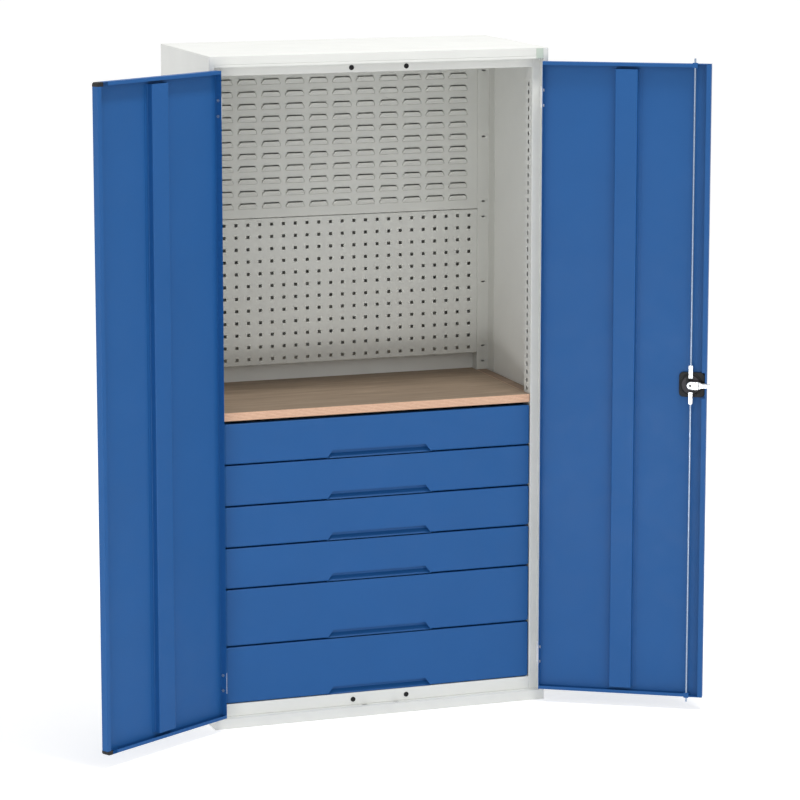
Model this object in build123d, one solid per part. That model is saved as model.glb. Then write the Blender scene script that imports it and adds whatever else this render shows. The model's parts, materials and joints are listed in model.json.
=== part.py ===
from build123d import *
import os

# Tool cabinet with two hinged doors, six drawers, a plywood worktop and two back panels.
# Millimetres, +Z up. Origin: middle of the footprint, on the floor. The doors face -Y.

# ---- cabinet body ----
WIDTH = 1050
DEPTH = 525
HEIGHT = 2000
SHEET = 1.5                 # body sheet steel
PLINTH_HEIGHT = 30
CAP_HEIGHT = 25
COLUMN_WIDTH = 16           # front return of each side panel
DOOR_POCKET = 25            # depth from the front plane to the inner frame
POST_FACE = 25              # width of a front post seen from the front
POST_RETURN = 55            # depth of a front post's inward return
REAR_POST_SETBACK = 40      # from the back plane to the rear posts' faces
REAR_FLANGE = 20
TOP_RAIL_BOTTOM = 1940
TOP_LIP = 8
BOTTOM_RAIL_TOP = 68
RAIL_RETURN = 30
RAIL_HEM = 12
PLINTH_FLANGE = 25
STAY_WIDTH = 60             # flat bar across the middle of the plinth
POST_HEM = 36               # rear lip of a front post, almost to the side wall
GROOVE_FROM_POST = 22       # groove beside the side wall, in the rear posts
GROOVE_WIDTH = 10
GROOVE_DEPTH = 8
ROD_SLOT_LENGTH = 16
ROD_SLOT_WIDTH = 9
CORNER_PLATE_THICKNESS = 1.5
CORNER_PLATE_TOP = 1997.5
CORNER_PLATE_FROM = 486
CORNER_PLATE_TO = 508

# ---- rubber door buffers ----
BUFFER_X = 85
BUFFER_RADIUS = 7.5
BUFFER_HEIGHT = 2
TOP_BUFFER_Z = 1954
BOTTOM_BUFFER_Z = 48

# ---- back panels ----
PANEL_WIDTH = 968
PANEL_HEIGHT = 457
PANEL_FLANGE = 12
PERFORATED_BOTTOM = 1003
HOLE_PITCH = 38
HOLE_SIZE = 10
HOLE_COLUMNS = 25
HOLE_ROWS = 12
LOUVRE_PITCH_X = 76
LOUVRE_PITCH_Z = 38
LOUVRE_COLUMNS = 12
LOUVRE_ROWS = 11
LOUVRE_WIDTH = 64
LOUVRE_CREST = 50
LOUVRE_HEIGHT = 17
LOUVRE_RISE = 6.5
LOUVRE_WALL = 1.4           # a louvre's thickness along Y
PANEL_SHEET = 1.2

# ---- worktop ----
WORKTOP_TOP = 950
WORKTOP_THICKNESS = 25
WORKTOP_GAP = 2
BRACKET_DEPTH = 40
BRACKET_WIDTH = 32

# ---- drawers, from the top down ----
DRAWER_PITCHES = (125, 125, 125, 125, 175, 175)
DRAWER_STACK_BOTTOM = 68
DRAWER_GAP = 4
FRONT_WIDTH = 964
FRONT_DEPTH = 20
FRONT_SHEET = 1.2
FRONT_CORNER = 5
GRIP_BOTTOM_LENGTH = 327
GRIP_TOP_LENGTH = 300
GRIP_HEIGHT = 23
GRIP_DEPTH = 16
GRIP_FLOOR = 3
GRIP_KNEE = 12
GRIP_ROOF = 8               # pocket height above the mouth
GRIP_CORNER = 5
BOX_SHEET = 1.0
BOX_DEPTH = 440
BOX_RISE = 14               # box floor above the bottom of its front
BOX_TOP_LOSS = 20           # box rim below the top of its front
BOX_HEM = 7
RUNNER_SHEET = 1.5
RUNNER_LENGTH = 440
CABINET_RUNNER_LENGTH = 470
RUNNER_SETBACK = 21         # from the frame plane to the runners' front ends
RUNNER_RISE = 40            # runner axis above the bottom of its front
CABINET_RUNNER = (10.5, 22.5)     # width and half height of each runner member
MIDDLE_RUNNER = (10.0, 20.5)
DRAWER_RUNNER = (9.0, 18.5)
RUNNER_SPACE = 14.5         # from the post's return to the drawer's side
MIDDLE_RUNNER_INSET = 2.5   # from the post's return to the middle member's web

# ---- doors ----
DOOR_BOTTOM = 40
DOOR_TOP = 1960
DOOR_DEPTH = 22.5
DOOR_SHEET = 1.2
DOOR_OUTER_X = 504          # hinge-side face of each door
DOOR_MEETING_GAP = 4
EDGE_LIP = 20               # return lip along the free edge
END_LIP = 11                # return lip along the top and bottom edges
DOOR_OPEN_DEG = 149
STIFFENER_WIDTH = 65
STIFFENER_FOOT = 12
STIFFENER_SHEET = 1.2
CORNER_CAP_WIDTH = 22
CORNER_CAP_HEIGHT = 12
CORNER_CAP_RADIUS = 8
STIFFENER_END_GAP = 2

# ---- hinges ----
HINGE_AXIS_X = 506.5
HINGE_AXIS_OUT = 2.5        # in front of the front plane
HINGE_LENGTH = 63
HINGE_HEIGHTS = (147, 1851)
KNUCKLE_RADIUS = 3.3
PIN_RADIUS = 1.75
LEAF_THICKNESS = 2
LEAF_WIDTH = 22
LEAF_RELIEF = 0.5           # from the knuckle to the leaf's full-height part
KNUCKLE_GAP = 0.2
PIN_CLEARANCE = 0.05
HINGE_SCREW_SPACING = 46
NUT_RADIUS = 4.6
NUT_HEIGHT = 3

# ---- lock, on the right door ----
LOCK_X = 50
LOCK_Z = 1000
LOCK_PLATE_SIZE = 75
LOCK_PLATE_THICKNESS = 11.5
LOCK_PLATE_CORNER = 9
ROD_RADIUS = 3
ROD_INSET = 18              # from the front plane to the rods' axis
ROD_BEYOND_DOOR = 16
ROD_TRAVEL = 12
ROD_CLEARANCE = 0.3
COUPLER_START = 20.5        # from the lock's centre to a coupler's near end
COUPLER_END = 60            # from the lock's centre to a rod's inner end
COUPLER_HALF_WIDTH = 6.35
COUPLER_HALF_DEPTH = 3.4
COUPLER_CHAMFER = 2.5
FORK_INNER = 6.6            # from the rod's axis to the fork's leg
FORK_SLOT_END = 11.3
FORK_OUTER = 13.5
FORK_ROOT = 27
FORK_HALF_DEPTH = 2.5
FORK_TIP = 0.5
FORK_CLEARANCE = 0.6
DRIVE_PIN_RADIUS = 2
DRIVE_PIN_LENGTH = 7.2
HUB_RADIUS = 11
HUB_LENGTH = 9
HUB_FROM_RODS = 4           # from the rods' axis to the hub's outer end
SHOULDER_NEAR = 3.8         # from the hub's outer end to the shoulder
SHOULDER_FAR = 8
SHOULDER_LENGTH = 25
SHOULDER_HALF = 12
TONGUE_NEAR = 3.8
TONGUE_THICKNESS = 3
TONGUE_ROOT = 32            # where the taper meets the bar
TONGUE_LENGTH = 59
TONGUE_HALF = 6.5
SPINDLE_SIZE = 7
SPINDLE_HOLE = 5.5
HANDLE_LENGTH = 118
HANDLE_PROJECTION = 34
HANDLE_WIDTH = 34
HANDLE_SHOULDER = 18
HANDLE_TIP = 10
HANDLE_THICKNESS = 15
HANDLE_CHAMFER = 3
HANDLE_TAPER = 5
NECK_RADIUS = 15
SPINDLE_REACH = 22          # of the spindle beyond the door's face
HANDLE_GAP = 0.5

# ---- worked out from the above ----
FRONT = -DEPTH / 2
BACK = DEPTH / 2
FRAME_Y = FRONT + DOOR_POCKET
SIDE = WIDTH / 2
COLUMN_X = SIDE - COLUMN_WIDTH
POST_X = COLUMN_X - POST_FACE
REAR_POST_Y = BACK - REAR_POST_SETBACK
CAP_BOTTOM = HEIGHT - CAP_HEIGHT
DOOR_FREE_X = DOOR_MEETING_GAP / 2
DOOR_MIDDLE_X = (DOOR_OUTER_X + DOOR_FREE_X) / 2
AXIS_Y = FRONT - HINGE_AXIS_OUT
LOUVRE_PANEL_BOTTOM = PERFORATED_BOTTOM + PANEL_HEIGHT
DRIVE_PIN_REACH = ROD_TRAVEL / 2    # of each drive pin from the spindle, along X and along Z
ROD_Y = FRONT + ROD_INSET

os.makedirs("parts", exist_ok=True)


def box(x0, x1, y0, y1, z0, z1):
    """A block given by its limits along each axis."""
    size = (abs(x1 - x0), abs(y1 - y0), abs(z1 - z0))
    return Pos((x0 + x1) / 2, (y0 + y1) / 2, (z0 + z1) / 2) * Box(*size)


def cylinder_y(x, z, radius, y0, y1):
    """A cylinder along Y."""
    return Pos(x, (y0 + y1) / 2, z) * Rot(90, 0, 0) * Cylinder(radius, abs(y1 - y0))


def cylinder_z(x, y, radius, z0, z1):
    """A cylinder along Z."""
    return Pos(x, y, (z0 + z1) / 2) * Cylinder(radius, abs(z1 - z0))


def front_plane(x, y, z):
    """A plane through a point, looking towards the front: sketches read X and Z, extrusions go to -Y."""
    return Plane(origin=(x, y, z), x_dir=(1, 0, 0), z_dir=(0, -1, 0))


def folded(points, thickness):
    """The section of a folded sheet: a chain of straight runs, thickened to the left of its path."""
    chain = [Vector(*p) for p in points]
    normals = []
    for start, end in zip(chain, chain[1:]):
        run = (end - start).normalized()
        normals.append(Vector(-run.Y, run.X))
    inner = [chain[0] + normals[0] * thickness]
    for corner, before, after in zip(chain[1:-1], normals, normals[1:]):
        mitre = before + after
        inner.append(corner + mitre * (thickness / (1 + before.dot(after))))
    inner.append(chain[-1] + normals[-1] * thickness)
    outline = chain + inner[::-1]
    return make_face(Polyline(*[(p.X, p.Y) for p in outline], close=True))


def upright(points, thickness, z0, z1):
    """A folded sheet standing along Z; the points are X, Y."""
    return Pos(0, 0, z0) * extrude(folded(points, thickness), z1 - z0)


def rail(points, thickness, x0, x1):
    """A folded sheet running along X; the points are Y, Z."""
    section = Plane.YZ.offset(x0) * folded(points, thickness)
    return extrude(section, x1 - x0)


def mirrored(shape):
    """The same piece on the other side of the cabinet."""
    return mirror(shape, about=Plane.YZ)


def both_sides(shapes):
    """Each right-hand solid with its left-hand twin."""
    return list(shapes) + [mirrored(s) for s in shapes]


def only_solid(shape):
    """The single solid of a shape made by boolean steps."""
    solids = shape.solids()
    assert len(solids) == 1, f"{len(solids)} solids"
    return solids[0]


# ---------------------------------------------------------------- body

def side_panel():
    """Right side panel: skin, boxed front column, rear flange."""
    path = [
        (COLUMN_X, FRAME_Y),
        (COLUMN_X, FRONT),
        (SIDE, FRONT),
        (SIDE, BACK),
        (SIDE - REAR_FLANGE, BACK),
    ]
    return only_solid(upright(path, SHEET, PLINTH_HEIGHT, CAP_BOTTOM))


def plinth():
    """Rectangular base frame with floor flanges turned inwards and a stay across the middle."""
    top = PLINTH_HEIGHT - SHEET
    flange = PLINTH_FLANGE
    outer = box(-SIDE, SIDE, FRONT, BACK, 0, top)
    inner = box(-SIDE + SHEET, SIDE - SHEET, FRONT + SHEET, BACK - SHEET, SHEET, top)
    mouth = box(-SIDE + flange, SIDE - flange, FRONT + flange, BACK - flange, 0, SHEET)
    stay = box(-STAY_WIDTH / 2, STAY_WIDTH / 2, FRONT + SHEET, BACK - SHEET, 0, SHEET)
    return only_solid(outer - inner - mouth + stay)


def rod_slots(z0, z1):
    """Cutters for the two slots that take a lock rod's end."""
    half_length = ROD_SLOT_LENGTH / 2
    half_width = ROD_SLOT_WIDTH / 2
    return [
        box(x - half_length, x + half_length, ROD_Y - half_width, ROD_Y + half_width, z0, z1)
        for x in (-LOCK_X, LOCK_X)
    ]


def floor_pan():
    """Floor sheet over the plinth, with the lock rods' lower slots."""
    pan = box(-SIDE, SIDE, FRONT, BACK, PLINTH_HEIGHT - SHEET, PLINTH_HEIGHT)
    for slot in rod_slots(PLINTH_HEIGHT - SHEET, PLINTH_HEIGHT):
        pan -= slot
    return only_solid(pan)


def roof_cap():
    """Folded top: a flat sheet with a skirt on all four sides."""
    outer = box(-SIDE, SIDE, FRONT, BACK, CAP_BOTTOM, HEIGHT)
    inner = box(
        -SIDE + SHEET, SIDE - SHEET, FRONT + SHEET, BACK - SHEET, CAP_BOTTOM, HEIGHT - SHEET
    )
    return only_solid(outer - inner)


def top_rail():
    """Top rail: front lip, web with the rods' upper slots, and the recessed face."""
    lip_bottom = CAP_BOTTOM - TOP_LIP
    lip_and_web = rail(
        [(FRAME_Y + SHEET, CAP_BOTTOM), (FRONT, CAP_BOTTOM), (FRONT, lip_bottom)],
        SHEET, -COLUMN_X, COLUMN_X,
    )
    face = rail(
        [
            (FRAME_Y, CAP_BOTTOM - SHEET),
            (FRAME_Y, TOP_RAIL_BOTTOM),
            (FRAME_Y + RAIL_RETURN, TOP_RAIL_BOTTOM),
            (FRAME_Y + RAIL_RETURN, TOP_RAIL_BOTTOM + RAIL_HEM),
        ],
        SHEET, -POST_X, POST_X,
    )
    whole = lip_and_web + face
    for slot in rod_slots(CAP_BOTTOM - SHEET, CAP_BOTTOM):
        whole -= slot
    return only_solid(whole)


def bottom_rail():
    """Bottom rail: recessed face with a return at its top and a foot on the floor."""
    return only_solid(rail(
        [
            (FRAME_Y + RAIL_RETURN, BOTTOM_RAIL_TOP - RAIL_HEM),
            (FRAME_Y + RAIL_RETURN, BOTTOM_RAIL_TOP),
            (FRAME_Y, BOTTOM_RAIL_TOP),
            (FRAME_Y, PLINTH_HEIGHT),
            (FRAME_Y + RAIL_RETURN, PLINTH_HEIGHT),
        ],
        SHEET, -POST_X, POST_X,
    ))


def door_buffers():
    """Four rubber buttons on the rails, just short of the closed doors' edges."""
    return [
        cylinder_y(x, z, BUFFER_RADIUS, FRAME_Y - BUFFER_HEIGHT, FRAME_Y)
        for z in (TOP_BUFFER_Z, BOTTOM_BUFFER_Z)
        for x in (-BUFFER_X, BUFFER_X)
    ]


def front_post():
    """Right front post: face behind the door, inward return, and a rear lip."""
    path = [
        (POST_X + POST_HEM, FRAME_Y + POST_RETURN),
        (POST_X, FRAME_Y + POST_RETURN),
        (POST_X, FRAME_Y),
        (SIDE - SHEET, FRAME_Y),
    ]
    return only_solid(upright(path, SHEET, PLINTH_HEIGHT, CAP_BOTTOM - SHEET))


def rear_post():
    """Right rear post: inward return, face, and a groove beside the side wall."""
    groove_near = POST_X + GROOVE_FROM_POST
    groove_far = groove_near + GROOVE_WIDTH
    groove_floor = REAR_POST_Y + GROOVE_DEPTH
    path = [
        (POST_X, BACK - 2 * SHEET),
        (POST_X, REAR_POST_Y),
        (groove_near, REAR_POST_Y),
        (groove_near, groove_floor),
        (groove_far, groove_floor),
        (groove_far, REAR_POST_Y),
        (SIDE - SHEET, REAR_POST_Y),
    ]
    return only_solid(upright(path, SHEET, PLINTH_HEIGHT, CAP_BOTTOM))


def back_panel():
    """Plain back sheet, behind the rear posts and inside the side panels' flanges."""
    return only_solid(
        box(-SIDE + SHEET, SIDE - SHEET, BACK - 2 * SHEET, BACK - SHEET, PLINTH_HEIGHT, CAP_BOTTOM)
    )


# ---------------------------------------------------------------- tool panels

def panel_tray(bottom):
    """A shallow tray with its edges turned back, flush with the rear posts' faces."""
    half = PANEL_WIDTH / 2
    top = bottom + PANEL_HEIGHT
    y0 = REAR_POST_Y
    outer = box(-half, half, y0, y0 + PANEL_FLANGE, bottom, top)
    inner = box(
        -half + PANEL_SHEET, half - PANEL_SHEET, y0 + PANEL_SHEET, y0 + PANEL_FLANGE,
        bottom + PANEL_SHEET, top - PANEL_SHEET,
    )
    return outer - inner


def perforated_panel():
    """Tool panel with a grid of square holes."""
    middle = front_plane(0, REAR_POST_Y, PERFORATED_BOTTOM + PANEL_HEIGHT / 2)
    grid = GridLocations(HOLE_PITCH, HOLE_PITCH, HOLE_COLUMNS, HOLE_ROWS)
    holes = Sketch() + [place * Rectangle(HOLE_SIZE, HOLE_SIZE) for place in grid]
    cutter = extrude(middle * holes, PANEL_SHEET + 1, both=True)
    return only_solid(panel_tray(PERFORATED_BOTTOM) - cutter)


def louvre_hood():
    """The outer form of one louvre: a wedge with slanted ends, highest along its top edge."""
    half = LOUVRE_WIDTH / 2
    crest_half = LOUVRE_CREST / 2
    rise = LOUVRE_RISE
    low, high = -LOUVRE_HEIGHT / 2, LOUVRE_HEIGHT / 2
    wedge_section = make_face(Polyline((0, low), (0, high), (-rise, high), close=True))
    wedge = extrude(Plane.YZ.offset(-half) * wedge_section, LOUVRE_WIDTH)
    ends = Polyline((-half, 0), (half, 0), (crest_half, -rise), (-crest_half, -rise), close=True)
    plan = make_face(ends)
    return wedge & (Pos(0, 0, low) * extrude(plan, LOUVRE_HEIGHT))


def louvre_panel():
    """Tool panel of forward louvres, each open along its top edge."""
    middle = Pos(0, REAR_POST_Y, LOUVRE_PANEL_BOTTOM + PANEL_HEIGHT / 2)
    grid = GridLocations(LOUVRE_PITCH_X, LOUVRE_PITCH_Z, LOUVRE_COLUMNS, LOUVRE_ROWS)
    places = [middle * Pos(spot.position.X, 0, spot.position.Y) for spot in grid]
    hood = louvre_hood()
    inside = Pos(0, LOUVRE_WALL, 0) * hood
    tray = panel_tray(LOUVRE_PANEL_BOTTOM)
    tray += [place * hood for place in places]
    tray -= [place * inside for place in places]
    return only_solid(tray)


# ---------------------------------------------------------------- worktop

def worktop():
    """Plywood board, notched round the four posts."""
    front_half = POST_X - WORKTOP_GAP
    side_half = SIDE - SHEET - WORKTOP_GAP
    notch_front = FRAME_Y + POST_RETURN + WORKTOP_GAP
    notch_rear = REAR_POST_Y - WORKTOP_GAP
    rear = BACK - 2 * SHEET - WORKTOP_GAP
    right = [
        (front_half, FRAME_Y),
        (front_half, notch_front),
        (side_half, notch_front),
        (side_half, notch_rear),
        (front_half, notch_rear),
        (front_half, rear),
    ]
    left = [(-x, y) for x, y in right[::-1]]
    outline = make_face(Polyline(*right, *left, close=True))
    board = Pos(0, 0, WORKTOP_TOP - WORKTOP_THICKNESS) * extrude(outline, WORKTOP_THICKNESS)
    return only_solid(board)


def worktop_bracket():
    """Right angle bracket that carries the worktop between the posts."""
    top = WORKTOP_TOP - WORKTOP_THICKNESS
    wall = SIDE - SHEET
    y0 = FRAME_Y + POST_RETURN + WORKTOP_GAP
    y1 = REAR_POST_Y - WORKTOP_GAP
    upright_leg = box(wall - SHEET, wall, y0, y1, top - BRACKET_DEPTH, top)
    shelf_leg = box(wall - BRACKET_WIDTH, wall, y0, y1, top - SHEET, top)
    return only_solid(upright_leg + shelf_leg)


# ---------------------------------------------------------------- drawers

def drawer_layout():
    """Name, bottom and height of each drawer front, from the top drawer down."""
    layout = []
    top = DRAWER_STACK_BOTTOM + sum(DRAWER_PITCHES)
    for number, pitch in enumerate(DRAWER_PITCHES, start=1):
        top -= pitch
        layout.append((f"drawer_{number}", top + DRAWER_GAP / 2, pitch - DRAWER_GAP))
    return layout


def grip_prism(widen, y0, y1, height):
    """A block over the grip's trapezoid, seen from the front, from y0 to y1."""
    slope = (GRIP_BOTTOM_LENGTH - GRIP_TOP_LENGTH) / 2 / GRIP_HEIGHT
    bottom_half = GRIP_BOTTOM_LENGTH / 2 + widen
    top_half = bottom_half - slope * height
    outline = Polyline(
        (-bottom_half, 0), (bottom_half, 0), (top_half, height), (-top_half, height), close=True
    )
    return extrude(front_plane(0, y1, 0) * make_face(outline), y1 - y0)


def grip_section(grow):
    """The finger pocket's section, in Y and Z from the front's lower outside edge."""
    back = GRIP_DEPTH + grow
    top = GRIP_HEIGHT + GRIP_ROOF + grow
    return make_face(Polyline(
        (0, -grow), (GRIP_FLOOR, -grow), (back, GRIP_KNEE - grow), (back, top - GRIP_CORNER),
        (back - GRIP_CORNER, top), (0, top), close=True,
    ))


def across(section):
    """A section in Y and Z, carried along X over the whole length of the grip."""
    return extrude(Plane.YZ * section, GRIP_BOTTOM_LENGTH, both=True)


def drawer_front(bottom, height):
    """Folded front with rounded corners and a finger pocket at its lower edge."""
    half = FRONT_WIDTH / 2
    y0 = FRAME_Y
    pan = box(-half, half, y0, y0 + FRONT_DEPTH, bottom, bottom + height)
    pan = chamfer(pan.edges().filter_by(Axis.Y), FRONT_CORNER)
    hollow = box(
        -half + FRONT_SHEET, half - FRONT_SHEET, y0 + FRONT_SHEET, y0 + FRONT_DEPTH,
        bottom + FRONT_SHEET, bottom + height - FRONT_SHEET,
    )
    hollow = chamfer(hollow.edges().filter_by(Axis.Y), FRONT_CORNER - FRONT_SHEET / 2)
    foot = Pos(0, y0, bottom)
    reach = GRIP_HEIGHT + GRIP_ROOF + 2 * FRONT_SHEET
    void = across(grip_section(0)) & grip_prism(0, 0, FRONT_DEPTH, reach)
    shell = across(grip_section(FRONT_SHEET)) & grip_prism(FRONT_SHEET, 0, FRONT_DEPTH, reach)
    notch = foot * grip_prism(0, 0, FRONT_SHEET, GRIP_HEIGHT)
    pocket = (foot * shell) & box(-half, half, y0, y0 + FRONT_DEPTH, bottom, bottom + height)
    lip_above = box(-half, half, y0, y0 + FRONT_SHEET, bottom + GRIP_HEIGHT, bottom + height)
    return only_solid(pan - hollow + pocket - (foot * void - lip_above) - notch)


def drawer_box(bottom, height):
    """Folded box: floor, four walls and a hem turned inwards along the top."""
    half = POST_X - RUNNER_SPACE
    y0 = FRAME_Y + FRONT_DEPTH
    y1 = y0 + BOX_DEPTH
    z0 = bottom + BOX_RISE
    z1 = bottom + height - BOX_TOP_LOSS
    outer = box(-half, half, y0, y1, z0, z1)
    inner = box(
        -half + BOX_SHEET, half - BOX_SHEET, y0 + BOX_SHEET, y1 - BOX_SHEET,
        z0 + BOX_SHEET, z1 - BOX_SHEET,
    )
    mouth = box(
        -half + BOX_HEM, half - BOX_HEM, y0 + BOX_HEM, y1 - BOX_HEM, z1 - BOX_SHEET, z1
    )
    return only_solid(outer - inner - mouth)


def runner_member(web_x, tip_x, half_height, length, z):
    """One C-shaped runner member on the right: web at web_x, flanges reaching to tip_x."""
    y0 = FRAME_Y + RUNNER_SETBACK
    inward = 1 if tip_x > web_x else -1
    web = box(web_x, web_x + inward * RUNNER_SHEET, y0, y0 + length, z - half_height, z + half_height)
    top = box(web_x, tip_x, y0, y0 + length, z + half_height - RUNNER_SHEET, z + half_height)
    bottom = box(web_x, tip_x, y0, y0 + length, z - half_height, z - half_height + RUNNER_SHEET)
    return only_solid(web + top + bottom)


def cabinet_runners():
    """The fixed runner members of all six drawers, on both sides."""
    width, half_height = CABINET_RUNNER
    tip = POST_X - width
    return both_sides([
        runner_member(POST_X, tip, half_height, CABINET_RUNNER_LENGTH, bottom + RUNNER_RISE)
        for _, bottom, _ in drawer_layout()
    ])


def middle_runners(bottom):
    """The two sliding middle members of one drawer."""
    width, half_height = MIDDLE_RUNNER
    web = POST_X - MIDDLE_RUNNER_INSET
    member = runner_member(web, web - width, half_height, RUNNER_LENGTH, bottom + RUNNER_RISE)
    return both_sides([member])


def drawer_runners(bottom):
    """The two members fixed to one drawer's sides."""
    width, half_height = DRAWER_RUNNER
    web = POST_X - RUNNER_SPACE
    member = runner_member(web, web + width, half_height, RUNNER_LENGTH, bottom + RUNNER_RISE)
    return both_sides([member])


# ---------------------------------------------------------------- hinges

def hinge_leaf(x0, x1, z, low, high):
    """A leaf with one knuckle between two heights, measured from the hinge's middle."""
    half = HINGE_LENGTH / 2
    plate_y = AXIS_Y + KNUCKLE_RADIUS + LEAF_RELIEF
    leaf = box(x0, x1, plate_y, FRONT + LEAF_WIDTH, z - half, z + half)
    leaf += cylinder_z(HINGE_AXIS_X, AXIS_Y, KNUCKLE_RADIUS, z + low, z + high)
    return leaf + box(x0, x1, AXIS_Y, plate_y, z + low, z + high)


def frame_hinges():
    """Fixed leaves of the right-hand lift-off hinges: lower knuckle and upstanding pin."""
    half = HINGE_LENGTH / 2
    hinges = []
    for z in HINGE_HEIGHTS:
        leaf = hinge_leaf(COLUMN_X - LEAF_THICKNESS, COLUMN_X, z, -half, -KNUCKLE_GAP)
        pin = cylinder_z(HINGE_AXIS_X, AXIS_Y, PIN_RADIUS, z - half, z + half)
        hinges.append(only_solid(leaf + pin))
    return hinges


def door_hinges():
    """Moving leaves of the right-hand hinges, drawn closed: upper knuckle over the pin."""
    half = HINGE_LENGTH / 2
    leaves = []
    for z in HINGE_HEIGHTS:
        leaf = hinge_leaf(DOOR_OUTER_X, DOOR_OUTER_X + LEAF_THICKNESS, z, 0, half)
        leaf -= cylinder_z(HINGE_AXIS_X, AXIS_Y, PIN_RADIUS + PIN_CLEARANCE, z, z + half)
        leaves.append(only_solid(leaf))
    return leaves


def hinge_nuts():
    """Hexagon nuts inside the right door, behind its hinge leaves."""
    half = HINGE_SCREW_SPACING / 2
    y = FRONT + LEAF_WIDTH / 2
    hexagon = Plane.YZ.offset(DOOR_OUTER_X - DOOR_SHEET - NUT_HEIGHT) * RegularPolygon(NUT_RADIUS, 6)
    nut = extrude(hexagon, NUT_HEIGHT)
    return [
        only_solid(Pos(0, y, z + offset) * nut) for z in HINGE_HEIGHTS for offset in (-half, half)
    ]


# ---------------------------------------------------------------- doors, drawn closed, right-hand

def swing_open(shape):
    """A right-hand door's piece, turned from closed to its open position."""
    return Pos(HINGE_AXIS_X, AXIS_Y, 0) * Rot(0, 0, DOOR_OPEN_DEG) * Pos(-HINGE_AXIS_X, -AXIS_Y, 0) * shape


def door_pan():
    """Folded door: skin, four edges, and return lips on all but the hinge edge."""
    x0, x1 = DOOR_FREE_X, DOOR_OUTER_X
    y1 = FRONT + DOOR_DEPTH
    outer = box(x0, x1, FRONT, y1, DOOR_BOTTOM, DOOR_TOP)
    hollow = box(
        x0 + DOOR_SHEET, x1 - DOOR_SHEET, FRONT + DOOR_SHEET, y1 - DOOR_SHEET,
        DOOR_BOTTOM + DOOR_SHEET, DOOR_TOP - DOOR_SHEET,
    )
    mouth = box(
        x0 + EDGE_LIP, x1 - DOOR_SHEET, y1 - DOOR_SHEET, y1,
        DOOR_BOTTOM + END_LIP, DOOR_TOP - END_LIP,
    )
    return outer - hollow - mouth


def corner_cap_blocks():
    """The two corners of the free edge that plastic caps fill, bottom and top."""
    x0, x1 = DOOR_FREE_X, DOOR_FREE_X + CORNER_CAP_WIDTH
    y1 = FRONT + DOOR_DEPTH
    return [
        box(x0, x1, FRONT, y1, DOOR_BOTTOM, DOOR_BOTTOM + CORNER_CAP_HEIGHT),
        box(x0, x1, FRONT, y1, DOOR_TOP - CORNER_CAP_HEIGHT, DOOR_TOP),
    ]


def corner_caps():
    """Moulded caps with a rounded outer corner."""
    bottom, top = corner_cap_blocks()
    bottom_edge = bottom.edges().filter_by(Axis.Y).sort_by(Axis.Z)[:2].sort_by(Axis.X)[0]
    top_edge = top.edges().filter_by(Axis.Y).sort_by(Axis.Z)[2:].sort_by(Axis.X)[0]
    return [fillet(bottom_edge, CORNER_CAP_RADIUS), fillet(top_edge, CORNER_CAP_RADIUS)]


def stiffener():
    """Hat-section channel up the middle of a door."""
    half = STIFFENER_WIDTH / 2
    foot_y = FRONT + DOOR_SHEET
    face_y = FRONT + DOOR_DEPTH - 2 * STIFFENER_SHEET
    x = DOOR_MIDDLE_X
    path = [
        (x - half - STIFFENER_FOOT, foot_y),
        (x - half, foot_y),
        (x - half, face_y),
        (x + half, face_y),
        (x + half, foot_y),
        (x + half + STIFFENER_FOOT, foot_y),
    ]
    end_gap = END_LIP + STIFFENER_END_GAP
    return only_solid(upright(path, STIFFENER_SHEET, DOOR_BOTTOM + end_gap, DOOR_TOP - end_gap))


def lock_door_pan():
    """Right door pan with holes for the rods and the lock's spindle."""
    half = ROD_RADIUS + ROD_CLEARANCE
    column = box(LOCK_X - half, LOCK_X + half, ROD_Y - half, ROD_Y + half, DOOR_BOTTOM, DOOR_TOP)
    spindle_hole = cylinder_y(LOCK_X, LOCK_Z, SPINDLE_HOLE, FRONT, FRONT + DOOR_SHEET)
    return only_solid(door_pan() - column - spindle_hole)


def capped_door_pan():
    """Left door pan, drawn right-handed, notched for its corner caps."""
    return only_solid(door_pan() - corner_cap_blocks())


# ---------------------------------------------------------------- lock, drawn with the door closed

def lock_plate():
    """Inner lock housing: a rounded square block round the spindle."""
    y0 = FRONT + DOOR_SHEET
    y1 = y0 + LOCK_PLATE_THICKNESS
    half = LOCK_PLATE_SIZE / 2
    plate = box(LOCK_X - half, LOCK_X + half, y0, y1, LOCK_Z - half, LOCK_Z + half)
    plate = fillet(plate.edges().filter_by(Axis.Y), LOCK_PLATE_CORNER)
    plate -= cylinder_y(LOCK_X, LOCK_Z, SPINDLE_HOLE, y0, y1)
    return only_solid(plate)


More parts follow.
